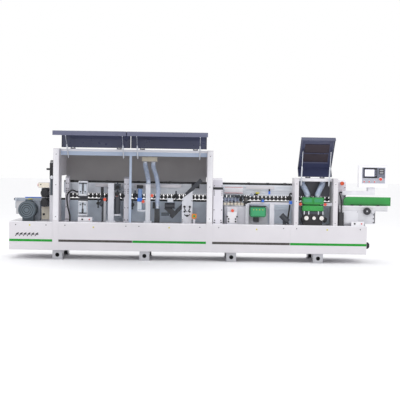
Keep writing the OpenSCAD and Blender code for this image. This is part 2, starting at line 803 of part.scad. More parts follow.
module outfeed_stand() color("lightgray") {
    bearing_t = 12;
    plate_x = [sprocket_x - sprocket_r - 10, track_x[0]];
    post_x = [-2430, -2330];
    bar_front_y = -140;
    // Bearing plates on the end of the track beam
    for (y = [[track_y[0] + 8, track_y[0] + 8 + bearing_t], [track_y[1] - 4 - bearing_t, track_y[1] - 4]])
        difference() {
            box(plate_x, y, [work_z - 172, work_z - 32]);
            bar_y(sprocket_x, [y[0] - 1, y[1] + 1], sprocket_z, shaft_r + fit);
        }
    // Board support bar with its round nose, on a post
    box(outfeed_x, [bar_front_y, -66], [work_z - 47, work_z - 1]);
    bar_y(outfeed_x[0] + 24, [bar_front_y - 60, bar_front_y], work_z - 24, 23);
    box(post_x, [-128, -78], [deck_z, work_z - 47]);
    // Plate that carries both buffing motors, and the electric box on its top
    plate_y = [-195, -180];
    difference() {
        box([buff_x - 75, buff_x + 75], plate_y, [deck_z, work_z + 166]);
        for (side = [-1, 1])
            bar_y(buff_x, [plate_y[0] - 1, plate_y[1] + 1], work_z + 12 + side * buff_offset,
                buff_shaft_r + fit);
    }
    box([buff_x - 100, buff_x + 75], [-400, -180], [work_z + 166, work_z + 249]);
    // Tall cable cabinet beside the enclosure wall
    box([wall_left_x - 62, wall_left_x], [-400, -250], [deck_z, deck_z + 910]);
}

module outfeed_drive() color("slategray") {
    z = deck_z + motor_rise;
    y = [-480, -135];
    cap_d = 60;
    rib_count = 16;
    gear_x = [sprocket_x - 40, motor_x + 45];
    bar_y(motor_x, [y[0] + cap_d, y[1]], z, motor_r - 8);
    difference() {
        bar_y(motor_x, [y[0], y[0] + cap_d], z, motor_r);
        for (r = [[22, 40], [52, 70], [82, 98], [110, 124]])
            difference() {
                bar_y(motor_x, [y[0] - 1, y[0] + 3], z, r[1]);
                bar_y(motor_x, [y[0] - 2, y[0] + 4], z, r[0]);
            }
    }
    for (i = [0 : rib_count - 1])
        translate([motor_x, y[0] + cap_d, z]) rotate([0, i * 360 / rib_count, 0])
            translate([0, 0, -2]) cube([motor_r, y[1] - y[0] - cap_d - 30, 4]);
    box([motor_x - 80, motor_x + 80], [y[0] + cap_d + 20, y[1] - 40], [deck_z, z - motor_r + 30]);
    box([motor_x - 45, motor_x + 45], [y[0] + 130, y[1] - 90], [z + motor_r - 20, z + motor_r + 20]);
    difference() {
        box(gear_x, [y[1], y[1] + 105], [z - 80, z + 125]);
        bar_y(sprocket_x, [-60, -20], sprocket_z, shaft_r + fit);
    }
}

module buff_wheel(side) {
    z = work_z + 12 + side * buff_offset;
    bar_y(buff_x, [-88, -46], z, buff_r);
    bar_y(buff_x, [-190, -46], z, buff_shaft_r);
}

module buff_wheel_upper() color("tan") buff_wheel(1);

module buff_wheel_lower() color("tan") buff_wheel(-1);

module pressure_beam() color("silver") {
    z = work_z + press_rise;
    difference() {
        box(beam_x, press_y, [z, z + press_h]);
        for (gz = [z + 28, z + 62, z + 118])
            box([beam_x[0] - 1, beam_x[1] + 1], [press_y[0] - 1, press_y[0] + groove_d], [gz, gz + groove_h]);
        box([beam_x[0] - 1, beam_x[1] + 1], [press_y[0] + 30, press_y[1] - 12], [z + 12, z + press_h - 12]);
    }
    box(beam_x, [press_y[0] + 40, press_y[0] + 40 + duct_w], [z + press_h, z + press_h + duct_h]);
    for (i = [0 : len(column_x) - 1])
        box([column_x[i] - column_w[i] / 2 - 12, min(column_x[i] + column_w[i] / 2 + 12, beam_x[1])],
            [column_rear_y + slide_gap, press_y[0] + tiny], [z + 18, z + 18 + carriage_h]);
}

roller_z = work_z + board_min + roller_r;
roller_xs = [for (i = [0 : roller_count - 1]) beam_x[0] + 45 + i * roller_pitch];
roller_y = [press_y[0] + 36, press_y[0] + 36 + roller_w];

module roller_arms() color("gray") {
    beam_z = work_z + press_rise;
    for (x = roller_xs) {
        for (y = [roller_y[0] - 2 - arm_t, roller_y[1] + 2])
            front_plate([y, y + arm_t], [[x - 24, beam_z], [x - 12, beam_z], [x, beam_z - 20],
                [x + 12, beam_z], [x + 24, beam_z], [x + 9, roller_z - 10], [x - 9, roller_z - 10]]);
        bar_y(x, [roller_y[0] - 4, roller_y[1] + 4], roller_z, axle_r);
    }
}

module pressure_rollers() color("darkslategray") {
    for (x = roller_xs)
        difference() {
            bar_y(x, roller_y, roller_z, roller_r);
            bar_y(x, [roller_y[0] - 1, roller_y[1] + 1], roller_z, axle_r + fit);
        }
}

module lift_columns() color("white") {
    front = column_rear_y - column_d;
    wide = column_x[2];
    for (i = [0 : len(column_x) - 1]) {
        x = [column_x[i] - column_w[i] / 2, column_x[i] + column_w[i] / 2];
        difference() {
            union() {
                box(x, [front, column_rear_y], [deck_z, deck_z + column_h]);
                box([x[0] - 6, x[1] + 6], [front - 6, column_rear_y], [deck_z, deck_z + 14]);
                side_plate([x[0] + 2, x[1] - 2], [[front + 4, deck_z + column_h],
                    [column_rear_y, deck_z + column_h], [column_rear_y, deck_z + column_h + cap_h],
                    [column_rear_y - 50, deck_z + column_h + cap_h],
                    [front + 4, deck_z + column_h + cap_h - 30]]);
            }
            if (i == len(column_x) - 1)
                bar_y(column_x[i] + 6, [front - 8, front + 62], deck_z + column_h + crank_rise, crank_r + fit);
        }
    }
    // Front cover of the wide column
    box([wide - column_w[2] / 2, wide + column_w[2] / 2], [front_y + 30, front],
        [deck_z, deck_z + column_h - 55]);
}

module lift_crank() color("orange") {
    front = column_rear_y - column_d;
    x = column_x[3] + 6;
    z = deck_z + column_h + crank_rise;
    bar_y(x, [front - 80, front + 58], z, crank_r);
    bar_y(x, [front - 50, front - 12], z, 24);
    bar_y(x, [front - 96, front - 80], z, 30);
    bar_y(x + 20, [front - 140, front - 96], z, 7);
}

module infeed_table() color("silver") {
    z = [table_z - table_t, table_z];
    inner_x = column_x[3] + column_w[3] / 2 + 8;
    end_x = right_x + table_overhang;
    box([inner_x, end_x], [table_y[0], table_y[1]], z);
    box([table_x, inner_x], [table_y[0], cabinet_y[1]], z);
    box([table_x + 4, end_x - 4], [table_y[0] + 4, table_y[0] + 16], [z[0] - apron_h, z[0]]);
    box([end_x - 190, end_x], [table_y[0] + 16, table_y[1]], [z[0] - 50, z[0]]);
}

module infeed_fence() color("seagreen") {
    z = [table_z, table_z + fence_h];
    inner_x = column_x[3] + column_w[3] / 2 + 8;
    end_x = right_x + fence_overhang;
    y = [-345, cabinet_y[1]];
    difference() {
        translate([0, y[1], 0]) rotate([90, 0, 0]) linear_extrude(y[1] - y[0]) intersection() {
            translate([fence_x, z[0]]) square([end_x - fence_x, fence_h]);
            union() {
                translate([fence_x, z[0]]) square([end_x - fence_x, fence_h - fence_r]);
                translate([fence_x + fence_r, z[0]]) square([end_x - fence_x - fence_r, fence_h]);
                translate([fence_x + fence_r, z[1] - fence_r]) circle(fence_r);
            }
        }
        box([fence_x - 1, end_x - 120], [y[0] - 1, y[0] + 3], [z[0] + 40, z[0] + 44]);
    }
    box([inner_x, end_x], [y[1], edge_y - 5], [z[0], z[1] - 14]);
}

module infeed_cabinet() color("gainsboro") {
    z = [deck_z, cabinet_top];
    hub_y = cabinet_y[0] - 40;
    box([cabinet_x[0], cabinet_x[1]], cabinet_y, [z[0] + 37, z[1]]);
    plinth_end = min(cabinet_x[1] - 150, right_x - 12);
    box([cabinet_x[0] + 20, plinth_end], [cabinet_y[0] + 30, cabinet_y[1]], [z[0], z[0] + 37]);
    bar_y(disc_x, [hub_y - 12, cabinet_y[0]], z[1] - 16, 7);
    box([disc_x + 68, disc_x + 118], [cabinet_y[0] - 36, cabinet_y[0]], [z[1] - 40, z[1]]);
}

module tape_disc() color("black") {
    hub_y = cabinet_y[0] - 40;
    z = cabinet_top - 16;
    difference() {
        union() {
            bar_y(disc_x, [hub_y, hub_y + 6], z, disc_r);
            bar_y(disc_x, [hub_y, hub_y + 30], z, disc_r * 0.55);
            bar_y(disc_x, [hub_y + 24, hub_y + 30], z, disc_r);
        }
        bar_y(disc_x, [hub_y - 1, hub_y + 31], z, 7 + fit);
    }
}

arm_z = deck_z + 478;
panel_bottom = deck_z + panel_rise;

module panel_arm() color("white") {
    arm_h = 64;
    y = [panel_y - 40, column_rear_y - column_d];
    collar = panel_bottom - 2;
    box([column_x[3] + 6, panel_x + 56], y, [arm_z, arm_z + arm_h]);
    box([panel_x - 54, panel_x + 54], y, [arm_z + arm_h, collar]);
    bar_z(panel_x, panel_y, [collar - 1, panel_bottom + 26], swivel_r);
    // Foot of the cable column at the front of the cabinet
    box([table_x - 7, table_x + 67], [cabinet_y[0] - 54, cabinet_y[0] - 4], [deck_z, deck_z + 210]);
    box([table_x - 15, table_x + 75], [cabinet_y[0] - 58, cabinet_y[0] - 4], [deck_z, deck_z + 16]);
}

panel_front_y = panel_y - panel_d / 2;
bezel_x = panel_x + 24;
bezel_z = panel_bottom + 62;
estop_at = [bezel_x + 106, bezel_z + 68];
button_at = [for (dx = [-147, -69, 14]) [bezel_x + dx, bezel_z + 26]];

module control_panel() color("whitesmoke") {
    x = [panel_x - 202, panel_x - 202 + panel_w];
    y = [panel_front_y, panel_y + panel_d / 2];
    z = [panel_bottom, panel_bottom + panel_h];
    difference() {
        union() {
            box(x, y, z);
            box([bezel_x - bezel_w / 2, bezel_x + bezel_w / 2], [y[0] - bezel_t, y[0]],
                [bezel_z, bezel_z + bezel_h]);
        }
        box([x[0] + panel_wall, x[1] - panel_wall], [y[0] + panel_wall, y[1] - panel_wall],
            [z[0] + 30, z[1] - panel_wall]);
        box([x[0] + 20, x[1] - 20], [y[1] - panel_wall - 1, y[1] + 1], [z[0] + 50, z[1] - 20]);
        bar_z(panel_x, panel_y, [z[0] - 1, z[0] + 28], swivel_r + fit);
        for (b = button_at)
            bar_y(b[0], [y[0] - bezel_t - 1, y[0] + panel_wall + 1], b[1], button_r - 4 + fit);
        bar_y(estop_at[0], [y[0] - bezel_t - 1, y[0] + panel_wall + 1], estop_at[1], 8 + fit);
    }
    box([x[0] + 20.5, x[1] - 20.5], [y[1] - panel_wall, y[1]], [z[0] + 50.5, z[1] - 20.5]);
}

module estop_button() color("red") {
    face = panel_front_y - bezel_t;
    bar_y(estop_at[0], [face - 26, face - estop_travel - 2], estop_at[1], estop_r);
    bar_y(estop_at[0], [face - estop_travel - 2, panel_front_y + 14], estop_at[1], 8);
}

module panel_button(b) {
    face = panel_front_y - bezel_t;
    bar_y(b[0], [face - 10, face - button_travel - 1], b[1], button_r);
    bar_y(b[0], [face - button_travel - 1, panel_front_y + 12], b[1], button_r - 4);
}

module panel_button_1() color("red") panel_button(button_at[0]);

module panel_button_2() color("red") panel_button(button_at[1]);

module panel_button_3() color("red") panel_button(button_at[2]);

box_face_y = -405;
bay_button_at = [-1530, deck_z + 40];
infeed_box_y = cabinet_y[0] - 52;
infeed_button_at = [2667, deck_z + 40];

module control_boxes() color("whitesmoke") {
    bay_x1 = [-1708, -1486];
    infeed_x1 = [2509, 2707];
    small_x = [52, 126];
    box_h = 75;
    depth = 50;
    stem_r = 6;
    difference() {
        box(bay_x1, [box_face_y, box_face_y + depth], [deck_z, deck_z + box_h]);
        bar_y(bay_button_at[0], [box_face_y - 1, box_face_y + 24], bay_button_at[1], stem_r + fit);
    }
    difference() {
        box(infeed_x1, [infeed_box_y, infeed_box_y + depth], [deck_z, deck_z + box_h]);
        bar_y(infeed_button_at[0], [infeed_box_y - 1, infeed_box_y + 24], infeed_button_at[1], stem_r + fit);
    }
    bar_y(-1640, [box_face_y - 14, box_face_y], deck_z + 40, 13);
    bar_y(2561, [infeed_box_y - 14, infeed_box_y], deck_z + 40, 13);
    box(small_x, [-400, -340], [deck_z + 78, deck_z + 150]);
    box([small_x[0] + 22, small_x[1] - 22], [-380, -360], [deck_z, deck_z + 78]);
    bar_y(89, [-408, -400], deck_z + 114, 12);
}

module box_button(x, z, face) {
    bar_y(x, [face - 9, face - button_travel - 1], z, 11);
    bar_y(x, [face - button_travel - 1, face + 18], z, 6);
}

module box_button_bay() color("red") box_button(bay_button_at[0], bay_button_at[1], box_face_y);

module box_button_infeed() color("red")
    box_button(infeed_button_at[0], infeed_button_at[1], infeed_box_y);

glue_roller_at = [900, edge_y - glue_roller_r - edge_gap];
press_roller_at = [650, edge_y - press_roller_r - edge_gap];
glue_top = deck_z + glue_h;

module glue_unit() color("darkseagreen") {
    plate_t = 20;
    bearing_r = 10;
    cyl_r = 29;
    cyl_z = work_z + 23;
    plate_x = [599, 750];
    post_1 = [887, 939];
    post_2 = [1258, 1329];
    rail_z = [work_z - 42, work_z - 7];
    small_r = 22;
    difference() {
        union() {
            box(glue_x, glue_y, [deck_z, glue_top]);
            box(glue_x, [glue_y[1], edge_y - 6], [glue_top - plate_t, glue_top]);
        }
        bar_z(glue_roller_at[0], glue_roller_at[1], [glue_top - plate_t - 1, glue_top + 1], bearing_r + fit);
        bar_z(press_roller_at[0], press_roller_at[1], [glue_top - plate_t - 1, glue_top + 1], bearing_r + fit);
    }
    // Pair of air cylinders above the body
    for (x = [glue_x[0] + 20, glue_x[0] + 220])
        box([x, x + 26], [-205, -175], [glue_top, cyl_z - cyl_r + 6]);
    bar_x([glue_x[0] - 20, glue_x[0] + 280], -190, cyl_z, cyl_r);
    // Two small idle pressing rollers in a row on the front of the table
    for (x = [glue_x[0] + 200, glue_x[0] + 262])
        bar_z(x, edge_y - small_r - edge_gap, [glue_top, work_z + 40], small_r);
    // Front bracket plate with its foot, rail posts and tape rail
    box(plate_x, [-380, -368], [deck_z, glue_top]);
    box([plate_x[0] + 10, plate_x[1] - 10], [-368, glue_y[0]], [deck_z + 60, deck_z + 80]);
    box(post_1, [-300, -265], [deck_z, rail_z[0]]);
    box(post_2, [-360, -300], [deck_z, rail_z[1] - 20]);
    box([post_1[0] + 20, mill_x - 35], [-300, -265], rail_z);
}

module glue_pot() color("seagreen") {
    z = [deck_z + 114, deck_z + 114 + pot_h];
    c = pot_chamfer;
    y = [glue_y[0] - pot_d, glue_y[0]];
    front_plate(y, [[pot_x[0] + c, z[0]], [pot_x[1] - c, z[0]], [pot_x[1], z[0] + c], [pot_x[1], z[1] - c],
        [pot_x[1] - c, z[1]], [pot_x[0] + c, z[1]], [pot_x[0], z[1] - c], [pot_x[0], z[0] + c]]);
    box([pot_x[0] + 60, pot_x[1] - 60], [y[0] - 16, y[0]], [z[0] + 40, z[0] + 100]);
}

module vertical_roller(at, r, z, shaft) {
    bar_z(at[0], at[1], z, r);
    bar_z(at[0], at[1], [glue_top - 20, z[0] + 1], shaft);
}

module glue_roller() color("silver")
    vertical_roller(glue_roller_at, glue_roller_r, [glue_top + 12, work_z + 50], 10);

module press_roller() color("linen")
    vertical_roller(press_roller_at, press_roller_r, [glue_top + 12, work_z + 50], 10);

mill_cut_y = edge_y - cutter_r - edge_gap;
mill_motor_top = deck_z + 210;
column_1 = [-1254, -1163];
column_2 = [-670, -596];
end_column = [-103, 60];
unit_y = [-300, -200];

// Flanged upright of a trimming unit
module upright(x, top) {
    flange = 26;
    flange_t = 18;
    cap = 12;
    box(x, unit_y, [deck_z, top]);
    box([x[0] - flange, x[1] + flange], [unit_y[0] - flange, unit_y[1] + 6], [deck_z, deck_z + flange_t]);
    box([x[0] - 6, x[1] + 6], [unit_y[0] - 6, unit_y[1] + 6], [top - cap, top]);
    for (sx = [x[0] - 13, x[1] + 13])
        bar_z(sx, unit_y[0] - 12, [deck_z + flange_t, deck_z + flange_t + 9], 8);
}

module trim_frames() color("white") {
    profile_x = [-1708, -1568];
    knob_y = [-290, -270];
    box([profile_x[0] + 8, profile_x[1] - 8], unit_y, [deck_z, work_z + 280]);
    box(profile_x, [-360, unit_y[0]], [work_z + 34, work_z + 280]);
    box(profile_x, [-360, unit_y[0]], [work_z - 253, work_z - 4]);
    for (z = [work_z - 120, work_z + 90])
        bar_y(profile_x[1] - 70, [-372, -360], z, 34);
    // Post for the scraper's adjusting knob
    box([-1320, -1286], [-300, -280], [deck_z, work_z + 24]);
    upright(column_1, work_z + 251);
    upright(column_2, work_z + 243);
    // Brackets on the uprights: motor shelves and knob plates
    box([column_1[1], column_1[1] + 105], [-290, -200], [deck_z + 100, deck_z + 120]);
    box([column_1[1], column_1[1] + 75], knob_y, [work_z + 48, work_z + 95]);
    box([column_2[0] - 128, column_2[0]], [-280, -200], [deck_z + 170, deck_z + 190]);
    box([column_2[0] - 65, column_2[0]], knob_y, [work_z - 50, work_z - 4]);
    box([column_2[1], column_2[1] + 52], knob_y, [work_z + 45, work_z + 92]);
    // Slanted upright of the end trimming unit
    front_plate([-330, -230], [[end_column[0], deck_z], [end_column[1], deck_z],
        [end_column[1], work_z + 152], [end_column[0], work_z + 27]]);
    // Knob plates on the legs of the pre-milling housing
    box([mill_bay_x[0], mill_bay_x[0] + 70], [-330, -310], [work_z - 50, work_z - 4]);
    box([mill_bay_x[1] - 128, mill_bay_x[1]], [-330, -310], [work_z - 50, work_z - 4]);
}

module adjust_knobs() color("orangered") {
    places = [
        [column_1[1] + 45, -290, work_z + 71],
        [column_2[0] - 37, -290, work_z - 27],
        [column_2[1] + 25, -290, work_z + 68],
        [-1303, -300, work_z - 2],
        [mill_bay_x[0] + 44, -330, work_z - 27],
        [mill_bay_x[1] - 103, -330, work_z - 27],
        [681, -380, deck_z + 209]
    ];
    for (p = places) {
        bar_y(p[0], [p[1] - knob_h, p[1] - 8], p[2], knob_r);
        bar_y(p[0], [p[1] - 8, p[1]], p[2], knob_r * 0.6);
    }
}

rail_y = [-230, -200];
upper_rail_at = [-40, deck_z + 440];
lower_rail_at = [-275, deck_z + 85];

// Inclined guide rail of an end trimming head
module incline(at, y, x, z) {
    translate([at[0], 0, at[1]]) rotate([0, -45, 0]) box(x, y, z);
}

module unit_motors() color("darkslategray") {
    shaft_hole = 12;
    // Buffing motors
    for (side = [-1, 1])
        difference() {
            bar_y(buff_x, [-400, -195], work_z + 12 + side * buff_offset, buff_motor_r);
            bar_y(buff_x, [-196, -190], work_z + 12 + side * buff_offset, buff_shaft_r + 0.5);
        }
    // Pre-milling motors and the dark block with the height dials
    for (x = cutter_x)
        difference() {
            bar_z(x, mill_cut_y, [deck_z, mill_motor_top], mill_motor_r);
            bar_z(x, mill_cut_y, [mill_motor_top - 30, mill_motor_top + 1], shaft_hole + fit);
        }
    box([1780, 2080], [-330, -170], [deck_z, deck_z + 220]);
    for (d = [[1830, 33], [1948, 25], [2066, 35]])
        bar_y(d[0], [-352, -330], deck_z + 110, min(d[1], 30) + 8);
    // Scraper motor on its stand
    translate([-1338, -225, work_z - 45]) rotate([0, 45, 0])
        translate([0, 0, -70]) cylinder(h = 140, r = 38);
    box([-1356, -1320], [-240, -210], [deck_z, work_z - 60]);
    // Trimming motors on the uprights
    bar_z(column_1[1] + 52, -245, [deck_z + 120, work_z + 40], 44);
    bar_z(column_2[0] - 90, -240, [deck_z + 190, work_z + 168], 33);
    // Inclined gluing motor on its block
    translate([1496, -300, deck_z + 96]) rotate([0, -45, 0])
        translate([0, 0, -75]) cylinder(h = 150, r = 45);
    box([1470, 1522], [-300, -270], [deck_z, deck_z + 70]);
    // Dust box under the right hose
    box([-530, -450], [-305, -220], [deck_z, work_z - 134]);
    // Guide rails of the end trimming heads
    incline(upper_rail_at, rail_y, [0, 330], [-30, 30]);
    incline(lower_rail_at, rail_y, [0, 300], [-30, 30]);
}

module end_trim_upper() color("silver") {
    motor_y = rail_y[1] + 34 + end_motor_r - 2;
    motor_z = upper_rail_at[1] + 141;
    incline(upper_rail_at, [rail_y[1] + slide_gap, rail_y[1] + 34], [150, 245], [-26, 26]);
    bar_x([40, 160], motor_y, motor_z, end_motor_r);
    bar_x([160, 164], motor_y, motor_z, 56);
}

module end_trim_lower() color("silver") {
    motor_y = rail_y[0] - 30 - end_motor_r;
    motor_z = lower_rail_at[1] + 185;
    incline(lower_rail_at, [rail_y[0] - 32, rail_y[0] - slide_gap], [20, 110], [-26, 170]);
    motor_x = [lower_rail_at[0] - 95, lower_rail_at[0] + 55];
    bar_x(motor_x, motor_y, motor_z, end_motor_r);
    bar_x([motor_x[1], motor_x[1] + 4], motor_y, motor_z, 56);
}

module premill_cutter(x) {
    bar_z(x, mill_cut_y, [work_z - 20, work_z - 20 + cutter_h], cutter_r);
    bar_z(x, mill_cut_y, [mill_motor_top - 28, work_z - 19], 12);
}

module premill_cutter_left() color("gray") premill_cutter(cutter_x[0]);

module premill_cutter_right() color("gray") premill_cutter(cutter_x[1]);

module dust_hoods() color("seagreen") {
    y = [-360, -160];
    z = [work_z - 27, work_z + 78];
    r = 34;
    for (side = [[1765, 1928, 1765 + r], [1932, 2095, 2095 - r]])
        translate([0, y[1], 0]) rotate([90, 0, 0]) linear_extrude(y[1] - y[0]) union() {
            translate([side[0], z[0] + r]) square([side[1] - side[0], z[1] - z[0] - r]);
            translate([side[0] + (side[2] < 1900 ? r : 0), z[0]]) square([side[1] - side[0] - r, r + 1]);
            translate([side[2], z[0] + r]) circle(r);
        }
    box([1766, 2091], [-360, -165], [deck_z + 220, z[0] - 20]);
    box([1810, 2050], [-300, -180], [z[0] - 20, z[0]]);
}

module dust_hoses() color("lightslategray") {
    hood_top_z = work_z + 78;
    roof_z = deck_z + mill_h - sheet_t;
    tube([[1847, -260, hood_top_z + 0.3], [1847, -260, hood_top_z + 50], [1812, -240, hood_top_z + 130],
        [1775, -200, roof_z - 90], [1775, -200, roof_z - 0.3]], mill_hose_r);
    tube([[2013, -260, hood_top_z + 0.3], [2013, -260, hood_top_z + 50], [2048, -240, hood_top_z + 130],
        [2090, -200, roof_z - 90], [2090, -200, roof_z - 0.3]], mill_hose_r);
    manifold_z = deck_z + 950;
    tube([[-690, -110, manifold_z - 0.3], [-690, -110, manifold_z - 60], [-660, -170, manifold_z - 180],
        [-633, -250, manifold_z - 290], [-633, -250, work_z + 243.3]], hose_r, 5);
    tube([[-560, -110, manifold_z - 0.3], [-560, -110, manifold_z - 90],
        [-510, -180, manifold_z - 240], [-478, -240, manifold_z - 430],
        [-490, -262, manifold_z - 640], [-490, -262, work_z - 133.7]], hose_r, 5);
}

module dust_manifold() color("wheat") {
    z = [deck_z + 950, deck_z + 1020];
    box([-740, -505], [-160, 60], z);
    box([-650, -590], [-90, -10], [z[1], top_z - sheet_t]);
    for (x = [-690, -560])
        bar_y(x, [-168, -160], z[0] + 35, 28);
}

module cables() color("black") {
    r = 12;
    tube([[-1850, -262, deck_z + 0.3], [-1850, -262, deck_z + 90], [-1890, -262, work_z - 80],
        [-1890, -262, work_z + 60], [-1820, -262, work_z + 132], [-1750, -262, work_z + 110],
        [-1708.4, -262, work_z + 110]], r);
    tube([[2355, -469, deck_z + 210.3], [2355, -469, deck_z + 300], [2350, -469, deck_z + 400],
        [2338, -420, deck_z + 480], [2345, -300, deck_z + 512], [2385.6, -300, deck_z + 512]], r);
    tube([[1560, -220, deck_z + 0.3], [1560, -220, deck_z + 120], [1585, -180, deck_z + 300],
        [1590, -120, deck_z + 470], [1624.6, -120, deck_z + 470]], r);
}

base_frame();
base_panels();
base_stripes();
fasteners();
machine_feet();
enclosure_wall_left();
enclosure_wall_right();
enclosure_roof();
enclosure_beam();
hood_hinges();
premill_housing();
track_beam();
outfeed_drive();
outfeed_stand();
lift_columns();
infeed_table();
infeed_fence();
infeed_cabinet();
panel_arm();
control_boxes();
glue_unit();
glue_pot();
trim_frames();
unit_motors();
adjust_knobs();
dust_hoods();
dust_hoses();
dust_manifold();
cables();
hood_left();
hood_mid();
hood_right();
strut_cylinders_left();
strut_rods_left();
strut_cylinders_mid();
strut_rods_mid();
strut_cylinders_right();
strut_rods_right();
pressure_beam();
roller_arms();
pressure_rollers();
lift_crank();
feed_chain();
feed_sprocket();
tape_disc();
premill_cutter_left();
premill_cutter_right();
glue_roller();
press_roller();
end_trim_upper();
end_trim_lower();
buff_wheel_upper();
buff_wheel_lower();
control_panel();
estop_button();
panel_button_1();
panel_button_2();
panel_button_3();
box_button_bay();
box_button_infeed();
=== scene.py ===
import math

import bpy
from mathutils import Matrix, Quaternion, Vector


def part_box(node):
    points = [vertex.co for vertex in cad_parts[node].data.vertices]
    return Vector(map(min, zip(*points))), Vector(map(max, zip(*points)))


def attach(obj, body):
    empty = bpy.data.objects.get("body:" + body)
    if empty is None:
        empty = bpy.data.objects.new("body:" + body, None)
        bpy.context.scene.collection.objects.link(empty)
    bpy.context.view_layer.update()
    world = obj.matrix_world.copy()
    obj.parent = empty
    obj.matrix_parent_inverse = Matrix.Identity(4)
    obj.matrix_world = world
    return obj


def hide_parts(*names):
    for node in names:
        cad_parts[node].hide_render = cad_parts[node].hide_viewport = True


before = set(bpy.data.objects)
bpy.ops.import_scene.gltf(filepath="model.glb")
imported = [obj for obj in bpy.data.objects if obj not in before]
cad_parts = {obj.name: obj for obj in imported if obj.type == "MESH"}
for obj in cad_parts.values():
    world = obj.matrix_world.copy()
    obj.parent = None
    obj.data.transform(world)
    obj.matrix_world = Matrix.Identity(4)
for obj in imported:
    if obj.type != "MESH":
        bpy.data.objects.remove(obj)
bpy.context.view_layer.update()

# ---- Camera ----
# A long lens from well in front of the machine, a little above eye level for an operator,
# so that the whole length is in view with hardly any perspective.
camera_data = bpy.data.cameras.new("camera")
camera_data.lens = 93.8
camera = bpy.data.objects.new("camera", camera_data)
bpy.context.scene.collection.objects.link(camera)
camera.location = (0.04, -16.5, 1.489)
camera.rotation_mode = "QUATERNION"
yaw = Quaternion((0, 0, 1), math.radians(-0.48))
tilt = Quaternion((1, 0, 0), math.radians(88.07))
roll = Quaternion((0, 0, 1), math.radians(0.9))
camera.rotation_quaternion = yaw @ tilt @ roll
bpy.context.scene.camera = camera
bpy.context.scene.view_settings.view_transform = "Standard"


# ---- Machine base ----
# A welded steel box, 5.5 m long, with bolted sheet covers along its front. Both are powder
# coated in a cool white that shows a faint orange peel.
def linear(red, green, blue):
    """Turns paint-chart values from 0 to 255 into the shader's linear colour."""
    return tuple(((c / 255 + 0.055) / 1.055) ** 2.4 if c > 10 else c / 3294
                 for c in (red, green, blue)) + (1,)


class Finish:
    """A node material being mixed: each method adds one thing that the real surface shows."""

    def __init__(self, name, rough, metallic=0.0, coat=0.0):
        self.material = bpy.data.materials.new(name)
        self.material.use_nodes = True
        self.nodes = self.material.node_tree.nodes
        self.links = self.material.node_tree.links
        self.shader = self.nodes["Principled BSDF"]
        self.shader.inputs["Roughness"].default_value = rough
        self.shader.inputs["Metallic"].default_value = metallic
        self.shader.inputs["Coat Weight"].default_value = coat
        self.place = self.nodes.new("ShaderNodeTexCoord").outputs["Object"]

    def noise(self, scale, detail=3.0, stretch=(1, 1, 1)):
        mapping = self.nodes.new("ShaderNodeMapping")
        mapping.inputs["Scale"].default_value = stretch
        texture = self.nodes.new("ShaderNodeTexNoise")
        texture.inputs["Scale"].default_value = scale
        texture.inputs["Detail"].default_value = detail
        self.links.new(self.place, mapping.inputs["Vector"])
        self.links.new(mapping.outputs["Vector"], texture.inputs["Vector"])
        return texture.outputs["Fac"]

    def ramp(self, value, low, high, start, end):
        node = self.nodes.new("ShaderNodeMapRange")
        node.inputs["From Min"].default_value = low
        node.inputs["From Max"].default_value = high
        node.inputs["To Min"].default_value = start
        node.inputs["To Max"].default_value = end
        self.links.new(value, node.inputs["Value"])
        return node.outputs["Result"]

    def mix(self, factor, first, second):
        node = self.nodes.new("ShaderNodeMix")
        node.data_type = "RGBA"
        self.links.new(factor, node.inputs["Factor"])
        for value, socket in ((first, node.inputs["A"]), (second, node.inputs["B"])):
            if isinstance(value, tuple):
                socket.default_value = value
            else:
                self.links.new(value, socket)
        return node.outputs["Result"]

    def axis(self, letter):
        node = self.nodes.new("ShaderNodeSeparateXYZ")
        self.links.new(self.place, node.inputs["Vector"])
        return node.outputs[letter]

    def colour(self, value):
        self.links.new(value, self.shader.inputs["Base Color"])

    def bump(self, value, depth, strength=0.3):
        node = self.nodes.new("ShaderNodeBump")
        node.inputs["Strength"].default_value = strength
        node.inputs["Distance"].default_value = depth
        self.links.new(value, node.inputs["Height"])
        self.links.new(node.outputs["Normal"], self.shader.inputs["Normal"])

    def rough(self, value):
        self.links.new(value, self.shader.inputs["Roughness"])


def enamel(name, chart, shade=0.06, rough=0.42, coat=0.15, peel=0.0006, split=None):
    """Sprayed paint: cloudy by a few percent, peeled like an orange, duller where it's handled.
    split = (axis, place, other chart) gives a second colour beyond a place along an axis."""
    finish = Finish(name, rough, 0.0, coat)
    base = linear(*chart)
    cloud = finish.ramp(finish.noise(2.2), 0.35, 0.7, 0.0, 1.0)
    darker = tuple(c * (1 - shade) for c in base[:3]) + (1,)
    tint = finish.mix(cloud, base, darker)
    if split:
        letter, place, other = split
        second = linear(*other)
        side = finish.ramp(finish.axis(letter), place - 0.0005, place + 0.0005, 0.0, 1.0)
        tint = finish.mix(side, tint, finish.mix(cloud, second, tuple(c * (1 - shade) for c in second[:3])
                                                 + (1,)))
    finish.colour(tint)
    finish.rough(finish.ramp(finish.noise(9.0, 4.0), 0.3, 0.75, rough - 0.08, rough + 0.12))
    finish.bump(finish.noise(420.0, 2.0), peel)
    return finish.material


def corners(name):
    """The lowest and highest corners of a CAD node at rest."""
    return [Vector(corner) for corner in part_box(name)]


def dress(finish, *names):
    """Gives CAD nodes their real finish."""
    for name in names:
        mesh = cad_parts[name].data
        mesh.materials.clear()
        mesh.materials.append(finish)


def settle(piece, name, body, finish, angle=35):
    """Last steps on any new piece: its place goes into its mesh, then its finish and its body."""
    piece.name = name
    piece.data.name = name
    bpy.ops.object.transform_apply(location=True, rotation=True, scale=True)
    bpy.ops.object.shade_smooth_by_angle(angle=math.radians(angle))
    piece.data.materials.clear()
    piece.data.materials.append(finish)
    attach(piece, body)
    return piece


